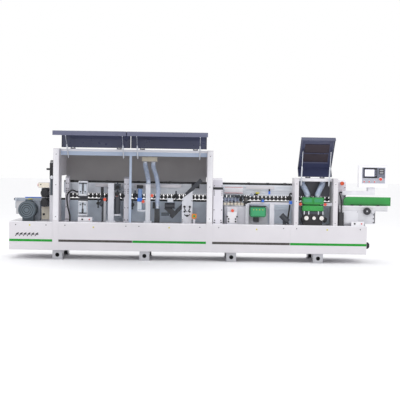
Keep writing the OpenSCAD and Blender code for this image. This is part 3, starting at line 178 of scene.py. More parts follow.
def choose(piece, wanted):
    """Edit mode with only the faces selected whose centre and normal are the wanted ones."""
    bpy.ops.object.mode_set(mode="OBJECT")
    bpy.context.tool_settings.mesh_select_mode = (False, False, True)
    for item in list(piece.data.vertices) + list(piece.data.edges):
        item.select = False
    for face in piece.data.polygons:
        face.select = wanted(face.center, face.normal)
    bpy.ops.object.mode_set(mode="EDIT")


def block(name, low, high, finish, edge=0.002, frame_w=0.0, sunk=0.0, facing=(0, -1, 0), turn=0.0,
          body="machine"):
    """A box between two corners with rounded edges. frame_w and sunk press a panel into the face
    that looks along facing, and turn leans the box about Y, in degrees."""
    bpy.ops.object.select_all(action="DESELECT")
    middle = [(a + b) / 2 for a, b in zip(low, high)]
    bpy.ops.mesh.primitive_cube_add(size=1, location=middle)
    piece = bpy.context.object
    piece.scale = [b - a for a, b in zip(low, high)]
    bpy.ops.object.transform_apply(location=False, rotation=False, scale=True)
    bpy.ops.object.mode_set(mode="EDIT")
    bpy.ops.mesh.select_all(action="SELECT")
    bpy.ops.mesh.bevel(offset=edge, segments=2, affect="EDGES")
    if frame_w:
        look = Vector(facing)
        bpy.ops.object.mode_set(mode="OBJECT")
        reach = max(look.dot(face.center) for face in piece.data.polygons)
        choose(piece, lambda c, n: n.dot(look) > 0.99 and c.dot(look) > reach - 1e-5)
        bpy.ops.mesh.inset(thickness=frame_w, depth=0)
        bpy.ops.mesh.extrude_region_move(TRANSFORM_OT_translate={"value": look * -sunk})
    bpy.ops.object.mode_set(mode="OBJECT")
    piece.rotation_euler = (0, math.radians(turn), 0)
    return settle(piece, name, body, finish)


def turned(name, base, steps, finish, sides=32, edge=0.001, along=(0, -1, 0), body="machine"):
    """A turned part: a first cylinder whose end is extruded and scaled, step by step, along a line."""
    bpy.ops.object.select_all(action="DESELECT")
    radius, height = steps[0]
    bpy.ops.mesh.primitive_cylinder_add(vertices=sides, radius=radius, depth=height,
                                        location=(0, 0, height / 2))
    piece = bpy.context.object
    bpy.ops.object.transform_apply(location=True, rotation=False, scale=False)
    for next_radius, next_height in steps[1:]:
        choose(piece, lambda c, n: n.z > 0.99 and c.z > height - 1e-5)
        bpy.ops.mesh.extrude_region_move()
        scale = next_radius / radius
        bpy.ops.transform.resize(value=(scale, scale, 1), center_override=(0, 0, height))
        bpy.ops.mesh.extrude_region_move(TRANSFORM_OT_translate={"value": (0, 0, next_height)})
        radius, height = next_radius, height + next_height
    bpy.ops.object.mode_set(mode="OBJECT")
    rim = piece.modifiers.new("rim", "BEVEL")
    rim.width = edge
    rim.segments = 2
    rim.angle_limit = math.radians(40)
    bpy.ops.object.modifier_apply(modifier="rim")
    piece.rotation_euler = Vector(along).to_track_quat("Z", "Y").to_euler()
    piece.location = base
    return settle(piece, name, body, finish)


white = enamel("white_enamel", (217, 214, 219))
# A lighter copy of the white enamel: pale plates and covers, and painted highlight on edges that catch the
# light.
pale_and_highlight = enamel("pale_enamel_and_painted_highlight", (232, 231, 236), rough=0.3)
# Near-black steel for real black parts, and also for dark pieces laid in slots and holes as painted shade.
dark_parts_and_shade = enamel("black_steel_and_painted_shade", (30, 31, 36), rough=0.6, coat=0.0)
dress(white, "base_frame", "base_panels")
base_low, base_high = corners("base_frame")
deck = base_high.z
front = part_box("base_panels")[0][1]
# The folded upper edge of the base catches the light: a strip of the lighter enamel paints it as one bright
# line, a painted highlight.
for number, (left, right) in enumerate(((base_low.x, -2.085), (-1.995, 0.278), (0.368, base_high.x))):
    block(f"deck_highlight_{number}", (left + 0.002, front - 0.002, deck - 0.012),
          (right - 0.002, front + 0.01, deck + 0.003), pale_and_highlight, edge=0.0015)
# Louvres on the left cover: a dark bar with a slanted tail for each slot, and a dark sheet behind them, all
# painted shade in the slots.
vent_x = base_low.x + 0.11
vent_z = 0.386
vent_pitch = 0.06
for number in range(6):
    x = vent_x + number * vent_pitch
    block(f"louvre_{number}", (x - 0.002, front - 0.006, vent_z - 0.007),
          (x + 0.040, front - 0.0004, vent_z + 0.006), dark_parts_and_shade, edge=0.002)
    block(f"louvre_tail_{number}", (x - 0.020, front - 0.0055, vent_z - 0.022),
          (x + 0.012, front - 0.0004, vent_z - 0.011), dark_parts_and_shade, edge=0.002, turn=-57)
block("base_vent_shade", (vent_x - 0.02, front + 0.006, 0.36), (vent_x + 0.38, front + 0.010, 0.44),
      dark_parts_and_shade)

# ---- Colour stripes and cover screws ----
# A self-adhesive stripe runs along each cover, green at both ends and under the right bay,
# grey between them. Dark zinc-plated dome screws hold the covers.
def striped(name, green, grey, places):
    """The stripe's film: green and grey by place along the machine."""
    finish = Finish(name, 0.55)
    finish.shader.inputs["Specular IOR Level"].default_value = 0.2
    where = finish.axis("X")
    tint = linear(*green)
    second = linear(*grey)
    for left, right in places:
        inside = finish.nodes.new("ShaderNodeMath")
        inside.operation = "COMPARE"
        inside.inputs[1].default_value = (left + right) / 2
        inside.inputs[2].default_value = (right - left) / 2
        finish.links.new(where, inside.inputs[0])
        tint = finish.mix(inside.outputs["Value"], tint, second)
    finish.colour(finish.mix(finish.ramp(finish.noise(14.0), 0.3, 0.8, 0.0, 0.05), tint,
                             linear(235, 240, 235)))
    finish.bump(finish.noise(300.0), 0.0003)
    return finish.material


def machined(name, chart, rough=0.3, grain=(1, 60, 60), scale=14.0, coat=0.0):
    """Bare metal with tool marks that run along its length."""
    finish = Finish(name, rough, 1.0, coat)
    base = linear(*chart)
    lines = finish.noise(scale, 5.0, grain)
    finish.colour(finish.mix(finish.ramp(lines, 0.3, 0.75, 0.0, 0.35), base,
                             tuple(c * 0.7 for c in base[:3]) + (1,)))
    finish.rough(finish.ramp(lines, 0.3, 0.7, rough - 0.06, rough + 0.14))
    finish.bump(lines, 0.0006)
    return finish.material


dress(striped("stripe_film", (0, 146, 34), (72, 68, 66), [(-1.995, -0.858), (0.36, 1.57)]), "base_stripes")
dark_screw = enamel("black_zinc", (48, 50, 58), rough=0.4)
dress(dark_screw, "fasteners")
yellow = enamel("yellow_paint", (206, 196, 40), rough=0.45)
for number, (x, z) in enumerate(((-2.435, 0.526), (-1.458, 0.506), (-0.294, 0.516), (1.052, 0.510),
                                 (2.139, 0.519))):
    turned(f"cover_mark_{number}", (x, front - 0.0002, z), [(0.012, 0.001), (0.008, 0.0008)], yellow,
           sides=24, edge=0.0002)
turned("end_socket", (base_high.x - 0.001, -0.44, 0.283), [(0.054, 0.014), (0.050, 0.022), (0.036, 0.014)],
       dark_parts_and_shade, edge=0.002, along=(1, 0, 0))

# ---- Feet ----
# Bent and welded plate brackets, painted light grey, each with a hole for a lifting bar, a black
# plate inside as painted shade behind the hole, and an anchor bolt through its flange.
foot_grey = enamel("foot_grey", (188, 188, 194), shade=0.18, rough=0.5)
dress(foot_grey, "machine_feet")
for number, x in enumerate((-2.01, -0.67, 0.67, 2.01)):
    for side in (-1, 1):
        shade_span = sorted((side * 0.378, side * 0.384))
        block(f"foot_shade_plate_{number}_{side + 2}", (x - 0.0632, shade_span[0], 0.0118), (x + 0.0632, shade_span[1], 0.134),
              dark_parts_and_shade, edge=0.001)
        turned(f"anchor_bolt_{number}_{'front' if side < 0 else 'rear'}", (x + 0.045, side * 0.427, 0.012),
               [(0.016, 0.004), (0.011, 0.010), (0.007, 0.010)], dark_screw, sides=12, along=(0, 0, 1))

# ---- Enclosure over the trimming bays ----
# Two sheet steel walls carry a front beam, a roof and a rear sheet. Outside they are white,
# inside the roof and the rear sheet are left in a warm grey coat.
dress(enamel("wall_enamel", (218, 215, 220)), "enclosure_wall_left", "enclosure_wall_right")
dress(enamel("roof_grey", (164, 160, 160), shade=0.12, rough=0.55), "enclosure_roof")
# The front beam's face below Z 1.672 is painted light blue as painted shade with a painted blue reflection;
# above that it is the machine's white.
dress(enamel("beam_white_painted_shade", (190, 205, 228), split=("Z", 1.672, (238, 238, 244))), "enclosure_beam")
wall_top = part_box("enclosure_wall_left")[1][2]
for name in ("enclosure_wall_left", "enclosure_wall_right"):
    low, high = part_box(name)
    block(f"{name}_cover", (low[0] + 0.006, front - 0.003, deck + 0.03),
          (high[0] - 0.006, front - 0.0004, wall_top - 0.012), pale_and_highlight, edge=0.0012)
    for number, z in enumerate((0.66, 1.15, 1.62)):
        turned(f"{name}_screw_{number}", ((low[0] + high[0]) / 2, front - 0.003, z),
               [(0.007, 0.001), (0.005, 0.0015)], dark_screw, sides=12, edge=0.0004)
    block(f"{name}_sill", (low[0] - 0.002, front + 0.002, deck - 0.001),
          (high[0] + 0.002, -0.16, deck + 0.012), foot_grey, edge=0.001)

# ---- Hoods ----
# Folded sheet steel hoods in navy enamel, stiffened by hat channels spot welded inside. The
# bent lip and the outer skin are painted a lighter, greyer blue, a painted highlight where light falls on
# them.
navy = enamel("hood_navy", (58, 63, 94), shade=0.2, rough=0.34, coat=0.4)
lit_hood_blue = enamel("hood_navy_painted_highlight", (92, 95, 120), shade=0.1, rough=0.32, coat=0.4)
dress(navy, "hood_left", "hood_mid", "hood_right")


def hood_details(body, span, tip_y, plate_z, back_y):
    """Lip strip and hat channels of one long hood, lying open."""
    left, right = span
    block(f"{body}_lip_strip", (left + 0.004, tip_y - 0.002, plate_z - 0.066),
          (right - 0.004, tip_y - 0.0003, plate_z - 0.002), lit_hood_blue, edge=0.0006, body=body)
    width = (right - left - 0.20) / 2
    for number in range(3):
        x = left + 0.10 + number * width
        block(f"{body}_channel_{number}", (x - 0.03, tip_y + 0.09, plate_z - 0.018),
              (x + 0.03, back_y - 0.32, plate_z - 0.0025),
              navy, edge=0.004, frame_w=0.012, sunk=0.006, facing=(0, 0, -1), body=body)


for body in ("hood_left", "hood_mid"):
    low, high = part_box(body)
    hood_details(body, (low[0], high[0]), low[1], high[2], -0.262)


def on_right_hood(name, low, high, finish, edge, frame_w=0.0, sunk=0.0, facing=(0, 1, 0)):
    """A flat part of the milling hood, drawn as on the closed hood and swung open about its hinge."""
    piece = block(name, low, high, finish, edge=edge, frame_w=frame_w, sunk=sunk, facing=facing,
                  body="hood_right")
    opening = Matrix.Rotation(math.radians(-134), 4, "X")
    hinge = Matrix.Translation((0, -0.310, 1.317))
    piece.data.transform(hinge @ opening @ hinge.inverted())


liner = enamel("hood_liner", (56, 46, 56), shade=0.25, rough=0.7, coat=0.0)
on_right_hood("milling_hood_liner", (1.768, -0.4965, 0.770), (2.146, -0.4905, 1.150), liner, 0.003,
              frame_w=0.012, sunk=0.003)
on_right_hood("milling_hood_rib", (1.762, -0.4903, 0.952), (2.152, -0.4845, 0.968), navy, 0.002)
on_right_hood("milling_hood_lower_rib", (1.762, -0.4960, 1.162), (2.152, -0.4890, 1.178), lit_hood_blue, 0.002)
for side, x in (("left", 1.706), ("right", 2.196)):
    on_right_hood(f"milling_hood_edge_{side}", (x, -0.4965, 0.66), (x + 0.012, -0.4905, 1.29), lit_hood_blue,
                  0.002)

# ---- Hinges and gas struts ----
# Black pressed hinges on the roof edge, and gas struts with white barrels and chromed rods
# that hold the hoods open.
black_paint = enamel("black_paint", (28, 28, 32), rough=0.38)
dress(black_paint, "hood_hinges")
dress(enamel("strut_white", (214, 218, 226), rough=0.3, coat=0.4),
      *(f"strut_cylinders_{side}" for side in ("left", "mid", "right")))
dress(machined("chromed_rod", (225, 228, 234), 0.12, (1, 1, 1)),
      *(f"strut_rods_{side}" for side in ("left", "mid", "right")))


# ---- Track and feed chain ----
# A hollow steel track carries a roller chain whose plastic pads move the board past the units.
# The pads are near black with scuffed faces. The drive sprocket is blackened steel.
def patched(name, chart, patches, rough=0.42, metallic=0.0, shade=0.08):
    """Paint with other colours inside boxes: patches = [(low corner, high corner, chart)]."""
    finish = Finish(name, rough, metallic, 0.1)
    cloud = finish.ramp(finish.noise(5.0), 0.35, 0.7, 0.0, 1.0)
    tint = linear(*chart)
    for low, high, other in patches:
        inside = None
        for letter, a, b in zip("XYZ", low, high):
            near = finish.nodes.new("ShaderNodeMath")
            near.operation = "COMPARE"
            near.inputs[1].default_value = (a + b) / 2
            near.inputs[2].default_value = (b - a) / 2
            finish.links.new(finish.axis(letter), near.inputs[0])
            if inside is None:
                inside = near.outputs["Value"]
                continue
            both = finish.nodes.new("ShaderNodeMath")
            both.operation = "MULTIPLY"
            finish.links.new(inside, both.inputs[0])
            finish.links.new(near.outputs["Value"], both.inputs[1])
            inside = both.outputs["Value"]
        tint = finish.mix(inside, tint, linear(*other))
    darker = finish.nodes.new("ShaderNodeHueSaturation")
    darker.inputs["Value"].default_value = 1 - shade * 2
    if patches:
        finish.links.new(tint, darker.inputs["Color"])
    else:
        darker.inputs["Color"].default_value = tint
    finish.colour(finish.mix(cloud, tint, darker.outputs["Color"]))
    finish.rough(finish.ramp(finish.noise(11.0, 4.0), 0.3, 0.75, rough - 0.08, rough + 0.12))
    finish.bump(finish.noise(400.0, 2.0), 0.0005)
    return finish.material


far = 9.0
rubber = enamel("pad_rubber", (34, 34, 36), shade=0.4, rough=0.62, coat=0.0, peel=0.001)
dress(rubber, "feed_chain")
dress(machined("blackened_steel", (70, 70, 74), 0.42, (20, 20, 20)), "feed_sprocket")
dress(patched("track_coat", (222, 232, 244), []), "track_beam")

# ---- Pressure beam ----
# The beam is an extruded aluminium rail coated in the machine's white, with a black cable duct
# on top. Black arms carry rubber-tyred rollers on its underside.
beam_low = corners("pressure_beam")[0]
duct_z = 1.1835
dress(patched("beam_coat", (236, 240, 247), [((-far, -far, duct_z), (far, far, far), (24, 24, 27)),
                                            ((-far, -0.0195, 1.095), (far, 0.02, 1.112), (120, 124, 136)),
                                            ((-far, -0.0195, 1.060), (far, 0.02, 1.070), (150, 154, 164))]),
      "pressure_beam")
dress(enamel("arm_black", (40, 41, 46), rough=0.4), "roller_arms")
dress(patched("roller_tyre", (46, 45, 48), [((0.5, -far, 0.9), (1.6, far, 1.1), (70, 66, 66))], rough=0.55),
      "pressure_rollers")
red = enamel("red_paint", (200, 48, 58), rough=0.35)
block("beam_scale_plate", (0.56, beam_low.y - 0.0035, 1.050), (0.855, beam_low.y - 0.0004, 1.150),
      pale_and_highlight, edge=0.001, body="pressure_beam")
for number, z in enumerate((1.052, 1.142)):
    block(f"beam_scale_line_{number}", (0.565, beam_low.y - 0.0047, z),
          (0.85, beam_low.y - 0.0032, z + 0.006), red, edge=0.0006, body="pressure_beam")
for number, (left, right) in enumerate(((-1.47, -1.05), (-0.86, -0.12), (0.9, 1.35))):
    block(f"beam_cover_{number}", (left, beam_low.y - 0.004, 1.120), (right, beam_low.y - 0.0004, 1.172),
          white, edge=0.0015, body="pressure_beam")
for number, x in enumerate((-1.84, -1.62, -1.30, -0.80, -0.30, 0.15, 0.95, 1.25, 1.52)):
    block(f"duct_saddle_{number}", (x - 0.022, 0.012, duct_z - 0.001), (x + 0.022, 0.098, duct_z + 0.038),
          black_paint, edge=0.003, body="pressure_beam")

# ---- Lift columns and crank ----
# Four bolted columns carry the pressure beam on screw spindles inside. Gearbox caps sit on top,
# and the crank of the right one has an orange grip.
dress(enamel("column_coat", (224, 222, 230)), "lift_columns")
wide_column = 2
dress(patched("crank_finish", (44, 44, 48), [((-far, -far, 0), (far, -0.235, far), (226, 84, 40))]),
      "lift_crank")
for number, (left, right) in enumerate(((-1.93, -1.87), (-1.015, -0.935), (0.377, 0.527), (2.302, 2.458))):
    for row, z in enumerate((0.61, 0.80, 1.03, 1.06, 1.09, 1.17)):
        for side, x in enumerate((left + 0.016, right - 0.016)):
            y = -0.470 if number == wide_column else -0.2
            turned(f"column_bolt_{number}_{row}_{side}", (x, y, z), [(0.008, 0.004), (0.0045, 0.002)],
                   dark_parts_and_shade, sides=8, edge=0.0006)
block("column_slot_cover", (0.377, -0.4755, 1.112), (0.527, -0.4702, 1.150), dark_parts_and_shade)

# ---- Enclosed bays: frames of the trimming, scraping and buffing units ----
# Each unit stands on a bolted upright of milled aluminium or white-coated steel, with black
# electro-spindles, pneumatic slides and orange adjusting knobs.
dress(patched("frame_coat", (220, 222, 230), [((-1.72, -far, 0.90), (-1.56, far, 0.985), (70, 72, 80)),
                                              ((-1.33, -far, 0.58), (-1.28, far, 1.2), (170, 172, 178))]),
      "trim_frames")
motor_grey = enamel("motor_grey", (66, 74, 84), shade=0.2, rough=0.45)
dress(patched("unit_motor_coat", (58, 62, 70), [((-0.80, -far, 0.74), (-0.72, far, 1.12), (120, 150, 200)),
                                                ((1.76, -far, 0.57), (2.10, -0.325, 0.81), (46, 44, 48)),
                                                ((-0.6, -far, 0.57), (-0.44, far, 0.81), (52, 54, 58))]),
      "unit_motors")
knob = enamel("knob_orange", (232, 84, 52), rough=0.34, coat=0.3)
dress(knob, "adjust_knobs")
slide_grey = machined("slide_steel", (150, 158, 170), 0.36)
dress(patched("end_trim_coat", (52, 54, 60), []), "end_trim_upper", "end_trim_lower")
aluminium = machined("milled_aluminium", (196, 204, 214), 0.32, (30, 1, 1))
steel = machined("ground_steel", (205, 208, 214), 0.22, (1, 30, 30))
cream = enamel("cream_plastic", (232, 224, 208), shade=0.12, rough=0.45)
blue = enamel("blue_paint", (52, 116, 222), rough=0.35)


def bay_bolts(name, places, radius=0.007):
    """Dark socket screws on front faces: places = (x, y, z) of each head's seat."""
    for number, place in enumerate(places):
        turned(f"{name}_{number}", place, [(radius, 0.004), (radius * 0.55, 0.0015)],
               dark_parts_and_shade, sides=10, edge=0.0005)


# Profile scraping unit: two mirrored tool heads above and below the board.
for part, (z, lean) in enumerate(((1.09, 1), (0.80, -1))):
    for side in (-1, 1):
        x = -1.638 + side * 0.036
        block(f"profile_jaw_{part}_{'left' if side < 0 else 'right'}", (x - 0.018, -0.378, z - 0.075),
              (x + 0.018, -0.3605, z + 0.075), aluminium, edge=0.003, frame_w=0.005, sunk=0.003)
        turned(f"profile_pin_{part}_{'left' if side < 0 else 'right'}", (x, -0.378, z - lean * 0.045),
               [(0.011, 0.004), (0.006, 0.010)], dark_parts_and_shade, sides=16)
    block(f"profile_gap_{part}", (-1.646, -0.3725, z - 0.09), (-1.630, -0.3602, z + 0.09), dark_parts_and_shade)
    block(f"profile_head_{part}", (-1.700, -0.392, z - lean * 0.092 - 0.014),
          (-1.576, -0.3606, z - lean * 0.092 + 0.014), steel, edge=0.003)
    block(f"profile_slide_{part}", (-1.702, -0.371, z + lean * 0.086 - 0.008),
          (-1.574, -0.3602, z + lean * 0.086 + 0.008), motor_grey, edge=0.002)
# The unit heads around each upright, from the scraper on the left to the end trimmer.
for name, low, high, body_finish, edge in (
        ("scraper_bracket", (-1.385, -0.262, 0.930), (-1.258, -0.202, 0.962), motor_grey, 0.003),
        ("scraper_arm", (-1.372, -0.248, 0.962), (-1.330, -0.206, 1.120), dark_parts_and_shade, 0.004),
        ("fine_trim_head", (-1.150, -0.330, 0.985), (-1.072, -0.292, 1.045), dark_parts_and_shade, 0.006),
        ("fine_trim_top", (-1.158, -0.270, 1.075), (-1.060, -0.205, 1.178), motor_grey, 0.006),
        ("fine_trim_shoe", (-1.140, -0.196, 0.930), (-1.080, -0.090, 0.965), steel, 0.003),
        ("lower_trim_box", (-1.030, -0.196, 0.640), (-0.985, -0.110, 0.780), motor_grey, 0.005),
        ("rough_trim_head", (-0.800, -0.300, 0.905), (-0.722, -0.278, 0.962), blue, 0.005),
        ("rough_trim_top", (-0.812, -0.262, 1.105), (-0.712, -0.206, 1.160), dark_parts_and_shade, 0.006),
        ("rough_trim_plate", (-0.798, -0.292, 0.776), (-0.730, -0.2835, 0.900), aluminium, 0.002),
        ("nozzle_block", (-0.560, -0.330, 0.800), (-0.520, -0.292, 0.900), dark_parts_and_shade, 0.005),
        ("corner_unit_base", (-0.425, -0.300, 0.690), (-0.300, -0.200, 0.735), motor_grey, 0.004),
        ("corner_unit_jaw", (-0.330, -0.335, 0.905), (-0.240, -0.304, 0.965), steel, 0.004),
        ("corner_unit_shoe", (-0.345, -0.196, 0.930), (-0.262, -0.092, 0.958), aluminium, 0.003)):
    block(name, low, high, body_finish, edge=edge, frame_w=0.008, sunk=0.0025)
for name, x, z, low_y, high_y, radius in (
        ("scraper_cylinder", -1.414, 0.865, -0.30, -0.20, 0.024),
        ("trim_pulley", -1.111, 1.120, -0.300, -0.272, 0.030),
        ("trim_pressure_wheel", -1.030, 0.985, -0.225, -0.196, 0.032),
        ("lower_pressure_wheel", -0.880, 0.850, -0.225, -0.196, 0.032),
        ("rough_pressure_wheel", -0.840, 1.000, -0.225, -0.196, 0.032),
        ("corner_wheel", -0.200, 1.000, -0.196, -0.160, 0.034)):
    turned(name, (x, high_y, z), [(radius, (high_y - low_y) * 0.6),
                                  (radius * 0.72, (high_y - low_y) * 0.25),
                                              (radius * 0.3, (high_y - low_y) * 0.15)], dark_parts_and_shade, sides=28)
    block(f"{name}_carrier", (x - 0.012, high_y + 0.0005, z - 0.075),
          (x + 0.012, high_y + 0.018, z + 0.075), motor_grey)
# The slanted upright of the end trimmer carries a cast triangular bracket and round feet.
for number, (x, z, radius) in enumerate(((-0.064, 0.835, 0.017), (0.020, 0.835, 0.017),
                                         (-0.064, 0.760, 0.014),
                                         (0.020, 0.760, 0.014), (-0.022, 0.700, 0.013))):
    turned(f"end_bracket_stud_{number}", (x, -0.3302, z), [(radius, 0.012), (radius * 0.6, 0.012)],
           dark_parts_and_shade, sides=20)
for number, (left, right, z, lean) in enumerate(((-0.085, -0.018, 0.785, 58), (-0.026, 0.041, 0.785, -58),
                                                 (-0.070, -0.018, 0.700, 40), (-0.026, 0.026, 0.700, -40))):
    block(f"end_bracket_rib_{number}", (left, -0.338, z - 0.006), (right, -0.3302, z + 0.006), dark_parts_and_shade,
          turn=lean)
bay_bolts("upright_foot_bolt", [(x, y, z) for x, y in ((-1.248, -0.2805), (-1.169, -0.2805),
                                                       (-0.664, -0.2805), (-0.602, -0.2805))
                                for z in (0.625, 0.66)])
bay_bolts("end_column_bolt", [(x, -0.3302, z) for x in (-0.092, 0.049) for z in (0.60, 0.63, 0.93)])
bay_bolts("column_face_bolt", [(x, -0.2805, z) for x in (-1.2085, -0.633) for z in (0.80, 0.96, 1.10)],
          0.006)

# ---- Cables and dust hoses ----
# Black control cables run in short loops between the units. The dust hoses are clear, blue-grey
# polyurethane over a wire helix, clamped to their stubs at both ends.
def smooth_route(points, steps):
    """The curve that the hose or cable lies along, through its chosen points."""
    points = [Vector(p) for p in points]
    line = []
    for i in range(len(points) - 1):
        a, b = points[max(i - 1, 0)], points[i]
        c, d = points[i + 1], points[min(i + 2, len(points) - 1)]
        for step in range(steps):
            t = step / steps
            line.append(0.5 * (2 * b + (c - a) * t + (2 * a - 5 * b + 4 * c - d) * t * t
                               + (3 * b - a - 3 * c + d) * t ** 3))
    return line + [points[-1]]


def evenly(line, gap):
    """The same line with points an equal distance apart."""
    lengths = [0.0]
    for a, b in zip(line, line[1:]):
        lengths.append(lengths[-1] + (b - a).length)
    count = max(2, round(lengths[-1] / gap))
    result, at = [], 0
    for number in range(count + 1):
        want = lengths[-1] * number / count
        while at < len(line) - 2 and lengths[at + 1] < want:
            at += 1
        span = lengths[at + 1] - lengths[at] or 1
        result.append(line[at].lerp(line[at + 1], min(1, (want - lengths[at]) / span)))
    return result, lengths[-1]


def swept(name, line, radii, sides, finish, body):
    """A closed tube whose rings follow a line, each with its own radius."""
    rings, faces = [], []
    last = len(line) - 1
    side = Vector((0, 1, 0.02))
    for number, point in enumerate(line):
        along = (line[min(number + 1, last)] - line[max(number - 1, 0)]).normalized()
        a = along.cross(side).normalized()
        b = a.cross(along)
        rings += [point + radii[number] * (math.cos(math.tau * k / sides) * a
                                           + math.sin(math.tau * k / sides) * b)
                  for k in range(sides)]
    for number in range(last):
        for k in range(sides):
            m = (k + 1) % sides
            faces.append((number * sides + k, number * sides + m, (number + 1) * sides + m,
                          (number + 1) * sides + k))
    faces += [tuple(range(sides - 1, -1, -1)), tuple(last * sides + k for k in range(sides))]
    mesh = bpy.data.meshes.new(name)
    mesh.from_pydata([tuple(v) for v in rings], [], faces)
    piece = bpy.data.objects.new(name, mesh)
    bpy.context.scene.collection.objects.link(piece)
    bpy.ops.object.select_all(action="DESELECT")
    bpy.context.view_layer.objects.active = piece
    piece.select_set(True)
    bpy.ops.object.mode_set(mode="EDIT")
    bpy.ops.mesh.select_all(action="SELECT")
    bpy.ops.mesh.normals_make_consistent(inside=False)
    bpy.ops.object.mode_set(mode="OBJECT")
    return settle(piece, name, body, finish, angle=60)


hose_clear = Finish("clear_hose", 0.28, 0.0, 0.3)
hose_tint = hose_clear.ramp(hose_clear.noise(22.0, 4.0), 0.3, 0.7, 0.0, 1.0)
hose_clear.colour(hose_clear.mix(hose_tint, linear(202, 212, 230), linear(168, 184, 212)))
hose_clear.shader.inputs["Alpha"].default_value = 0.82
hose_clear.bump(hose_clear.noise(160.0), 0.001)
cable_black = enamel("cable_sheath", (26, 26, 29), rough=0.5, coat=0.0)
hoses = {
    "mill_hose_left": (0.044, [(1.847, -0.26, 1.0103), (1.847, -0.26, 1.06), (1.812, -0.24, 1.14),
                               (1.775, -0.2, 1.215),
                               (1.775, -0.2, 1.3047)]),
    "mill_hose_right": (0.044, [(2.013, -0.26, 1.0103), (2.013, -0.26, 1.06), (2.048, -0.24, 1.14),
                                (2.09, -0.2, 1.215),
                                (2.09, -0.2, 1.3047)]),
    "bay_hose_left": (0.036, [(-0.69, -0.11, 1.5297), (-0.69, -0.11, 1.47), (-0.66, -0.17, 1.35),
                              (-0.633, -0.25, 1.24), (-0.633, -0.25, 1.1753)]),
    "bay_hose_right": (0.036, [(-0.56, -0.11, 1.5297), (-0.56, -0.11, 1.44), (-0.51, -0.18, 1.29),
                               (-0.478, -0.24, 1.1),
                               (-0.49, -0.262, 0.89), (-0.49, -0.262, 0.7983)]),
}
hose_pieces = []
for name, (radius, points) in hoses.items():
    line, length = evenly(smooth_route(points, 24), 0.0035)
    rib = [radius - 0.0026 * (0.5 + 0.5 * math.cos(number * math.tau / 4)) for number in range(len(line))]
    hose = swept(name, line, rib, 28, hose_clear.material, "machine")
    hose_pieces.append(hose)
for hose in hose_pieces:
    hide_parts("dust_hoses")
cable_routes = {
    "bay_cable": [(-1.85, -0.262, 0.5803), (-1.85, -0.262, 0.67), (-1.89, -0.262, 0.852),
                  (-1.89, -0.262, 0.992), (-1.82, -0.262, 1.064),
                  (-1.75, -0.262, 1.042), (-1.7084, -0.262, 1.042)],
    "arm_cable": [(2.355, -0.469, 0.7903), (2.355, -0.469, 0.88), (2.35, -0.469, 0.98),
                  (2.338, -0.42, 1.06), (2.345, -0.3, 1.092),
                  (2.3856, -0.3, 1.092)],
    "column_cable": [(1.56, -0.22, 0.5803), (1.56, -0.22, 0.70), (1.585, -0.18, 0.88), (1.59, -0.12, 1.05),
                     (1.6246, -0.12, 1.05)],
}
for name, points in cable_routes.items():
    line, length = evenly(smooth_route(points, 16), 0.012)
    cable = swept(name, line, [0.0118] * len(line), 12, cable_black, "machine")
    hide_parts("cables")
dress(enamel("manifold_tan", (205, 196, 178), shade=0.15, rough=0.5), "dust_manifold")
for number, (x, y, z, radius) in enumerate(((-0.69, -0.11, 1.505, 0.038), (-0.56, -0.11, 1.505, 0.038),
                                            (-0.633, -0.25, 1.190, 0.038),
                                            (-0.49, -0.262, 0.815, 0.038), (1.847, -0.26, 1.022, 0.046),
                                            (2.013, -0.26, 1.022, 0.046),
                                            (1.775, -0.2, 1.285, 0.046), (2.09, -0.2, 1.285, 0.046))):
    turned(f"hose_clamp_{number}", (x, y, z), [(radius, 0.003), (radius + 0.0015, 0.008), (radius, 0.003)],
           steel, sides=32, edge=0.0005, along=(0, 0, 1))

# ---- Outfeed: drive, buffing unit and stand ----
# A finned electric motor with a fan cover turns the chain through a gearbox. Beside it stand a
# bare aluminium run-out bar, the buffing motors and a small cabinet with a red switch.
dress(patched("drive_paint", (84, 96, 106), [((-far, -0.1352, 0), (far, far, far), (206, 206, 210))],
              rough=0.5), "outfeed_drive")
dress(patched("stand_coat", (214, 214, 220), [((-far, -far, 0.5), (-2.32, far, 0.9315), (176, 184, 196)),
                                             ((-2.302, -far, 0.5), (-2.1485, -0.1775, 0.72),
                                              (196, 196, 202))]), "outfeed_stand")
dress(enamel("buff_fan_cover", (52, 54, 60), rough=0.5), "buff_wheel_upper", "buff_wheel_lower")


def motor_front(name, centre, radius, finish, rings=3):
    """The pressed fan cover of a motor: a shallow drum with ring slots round a central cap."""
    turned(name, centre, [(radius, 0.016), (radius * 0.93, 0.010)], finish, sides=48, edge=0.002)
    for number in range(rings):
        outer = radius * (0.84 - 0.24 * number)
        y = centre[1] - 0.0265
        bpy.ops.object.select_all(action="DESELECT")
        bpy.ops.mesh.primitive_cylinder_add(vertices=40, radius=outer, depth=0.003,
                                            location=(centre[0], y, centre[2]),
                                            rotation=(math.pi / 2, 0, 0))
        ring = bpy.context.object
        bpy.ops.object.transform_apply(location=True, rotation=True, scale=True)
        choose(ring, lambda c, n: abs(n.y) > 0.99)
        bpy.ops.mesh.inset(thickness=radius * 0.07, depth=0)
        bpy.ops.mesh.delete(type="FACE")
        bpy.ops.object.mode_set(mode="OBJECT")
        for item in list(ring.data.vertices) + list(ring.data.polygons):
            item.select = False
        bpy.context.tool_settings.mesh_select_mode = (False, True, False)
        uses = {}
        for face in ring.data.polygons:
            for key in face.edge_keys:
                uses[key] = uses.get(key, 0) + 1
        for edge in ring.data.edges:
            edge.select = uses.get(tuple(edge.key), 0) == 1
        bpy.ops.object.mode_set(mode="EDIT")
        bpy.ops.mesh.bridge_edge_loops()
        bpy.ops.mesh.select_all(action="SELECT")
        bpy.ops.mesh.normals_make_consistent(inside=False)
        bpy.ops.object.mode_set(mode="OBJECT")
        settle(ring, f"{name}_ring_{number}", "machine", dark_parts_and_shade)


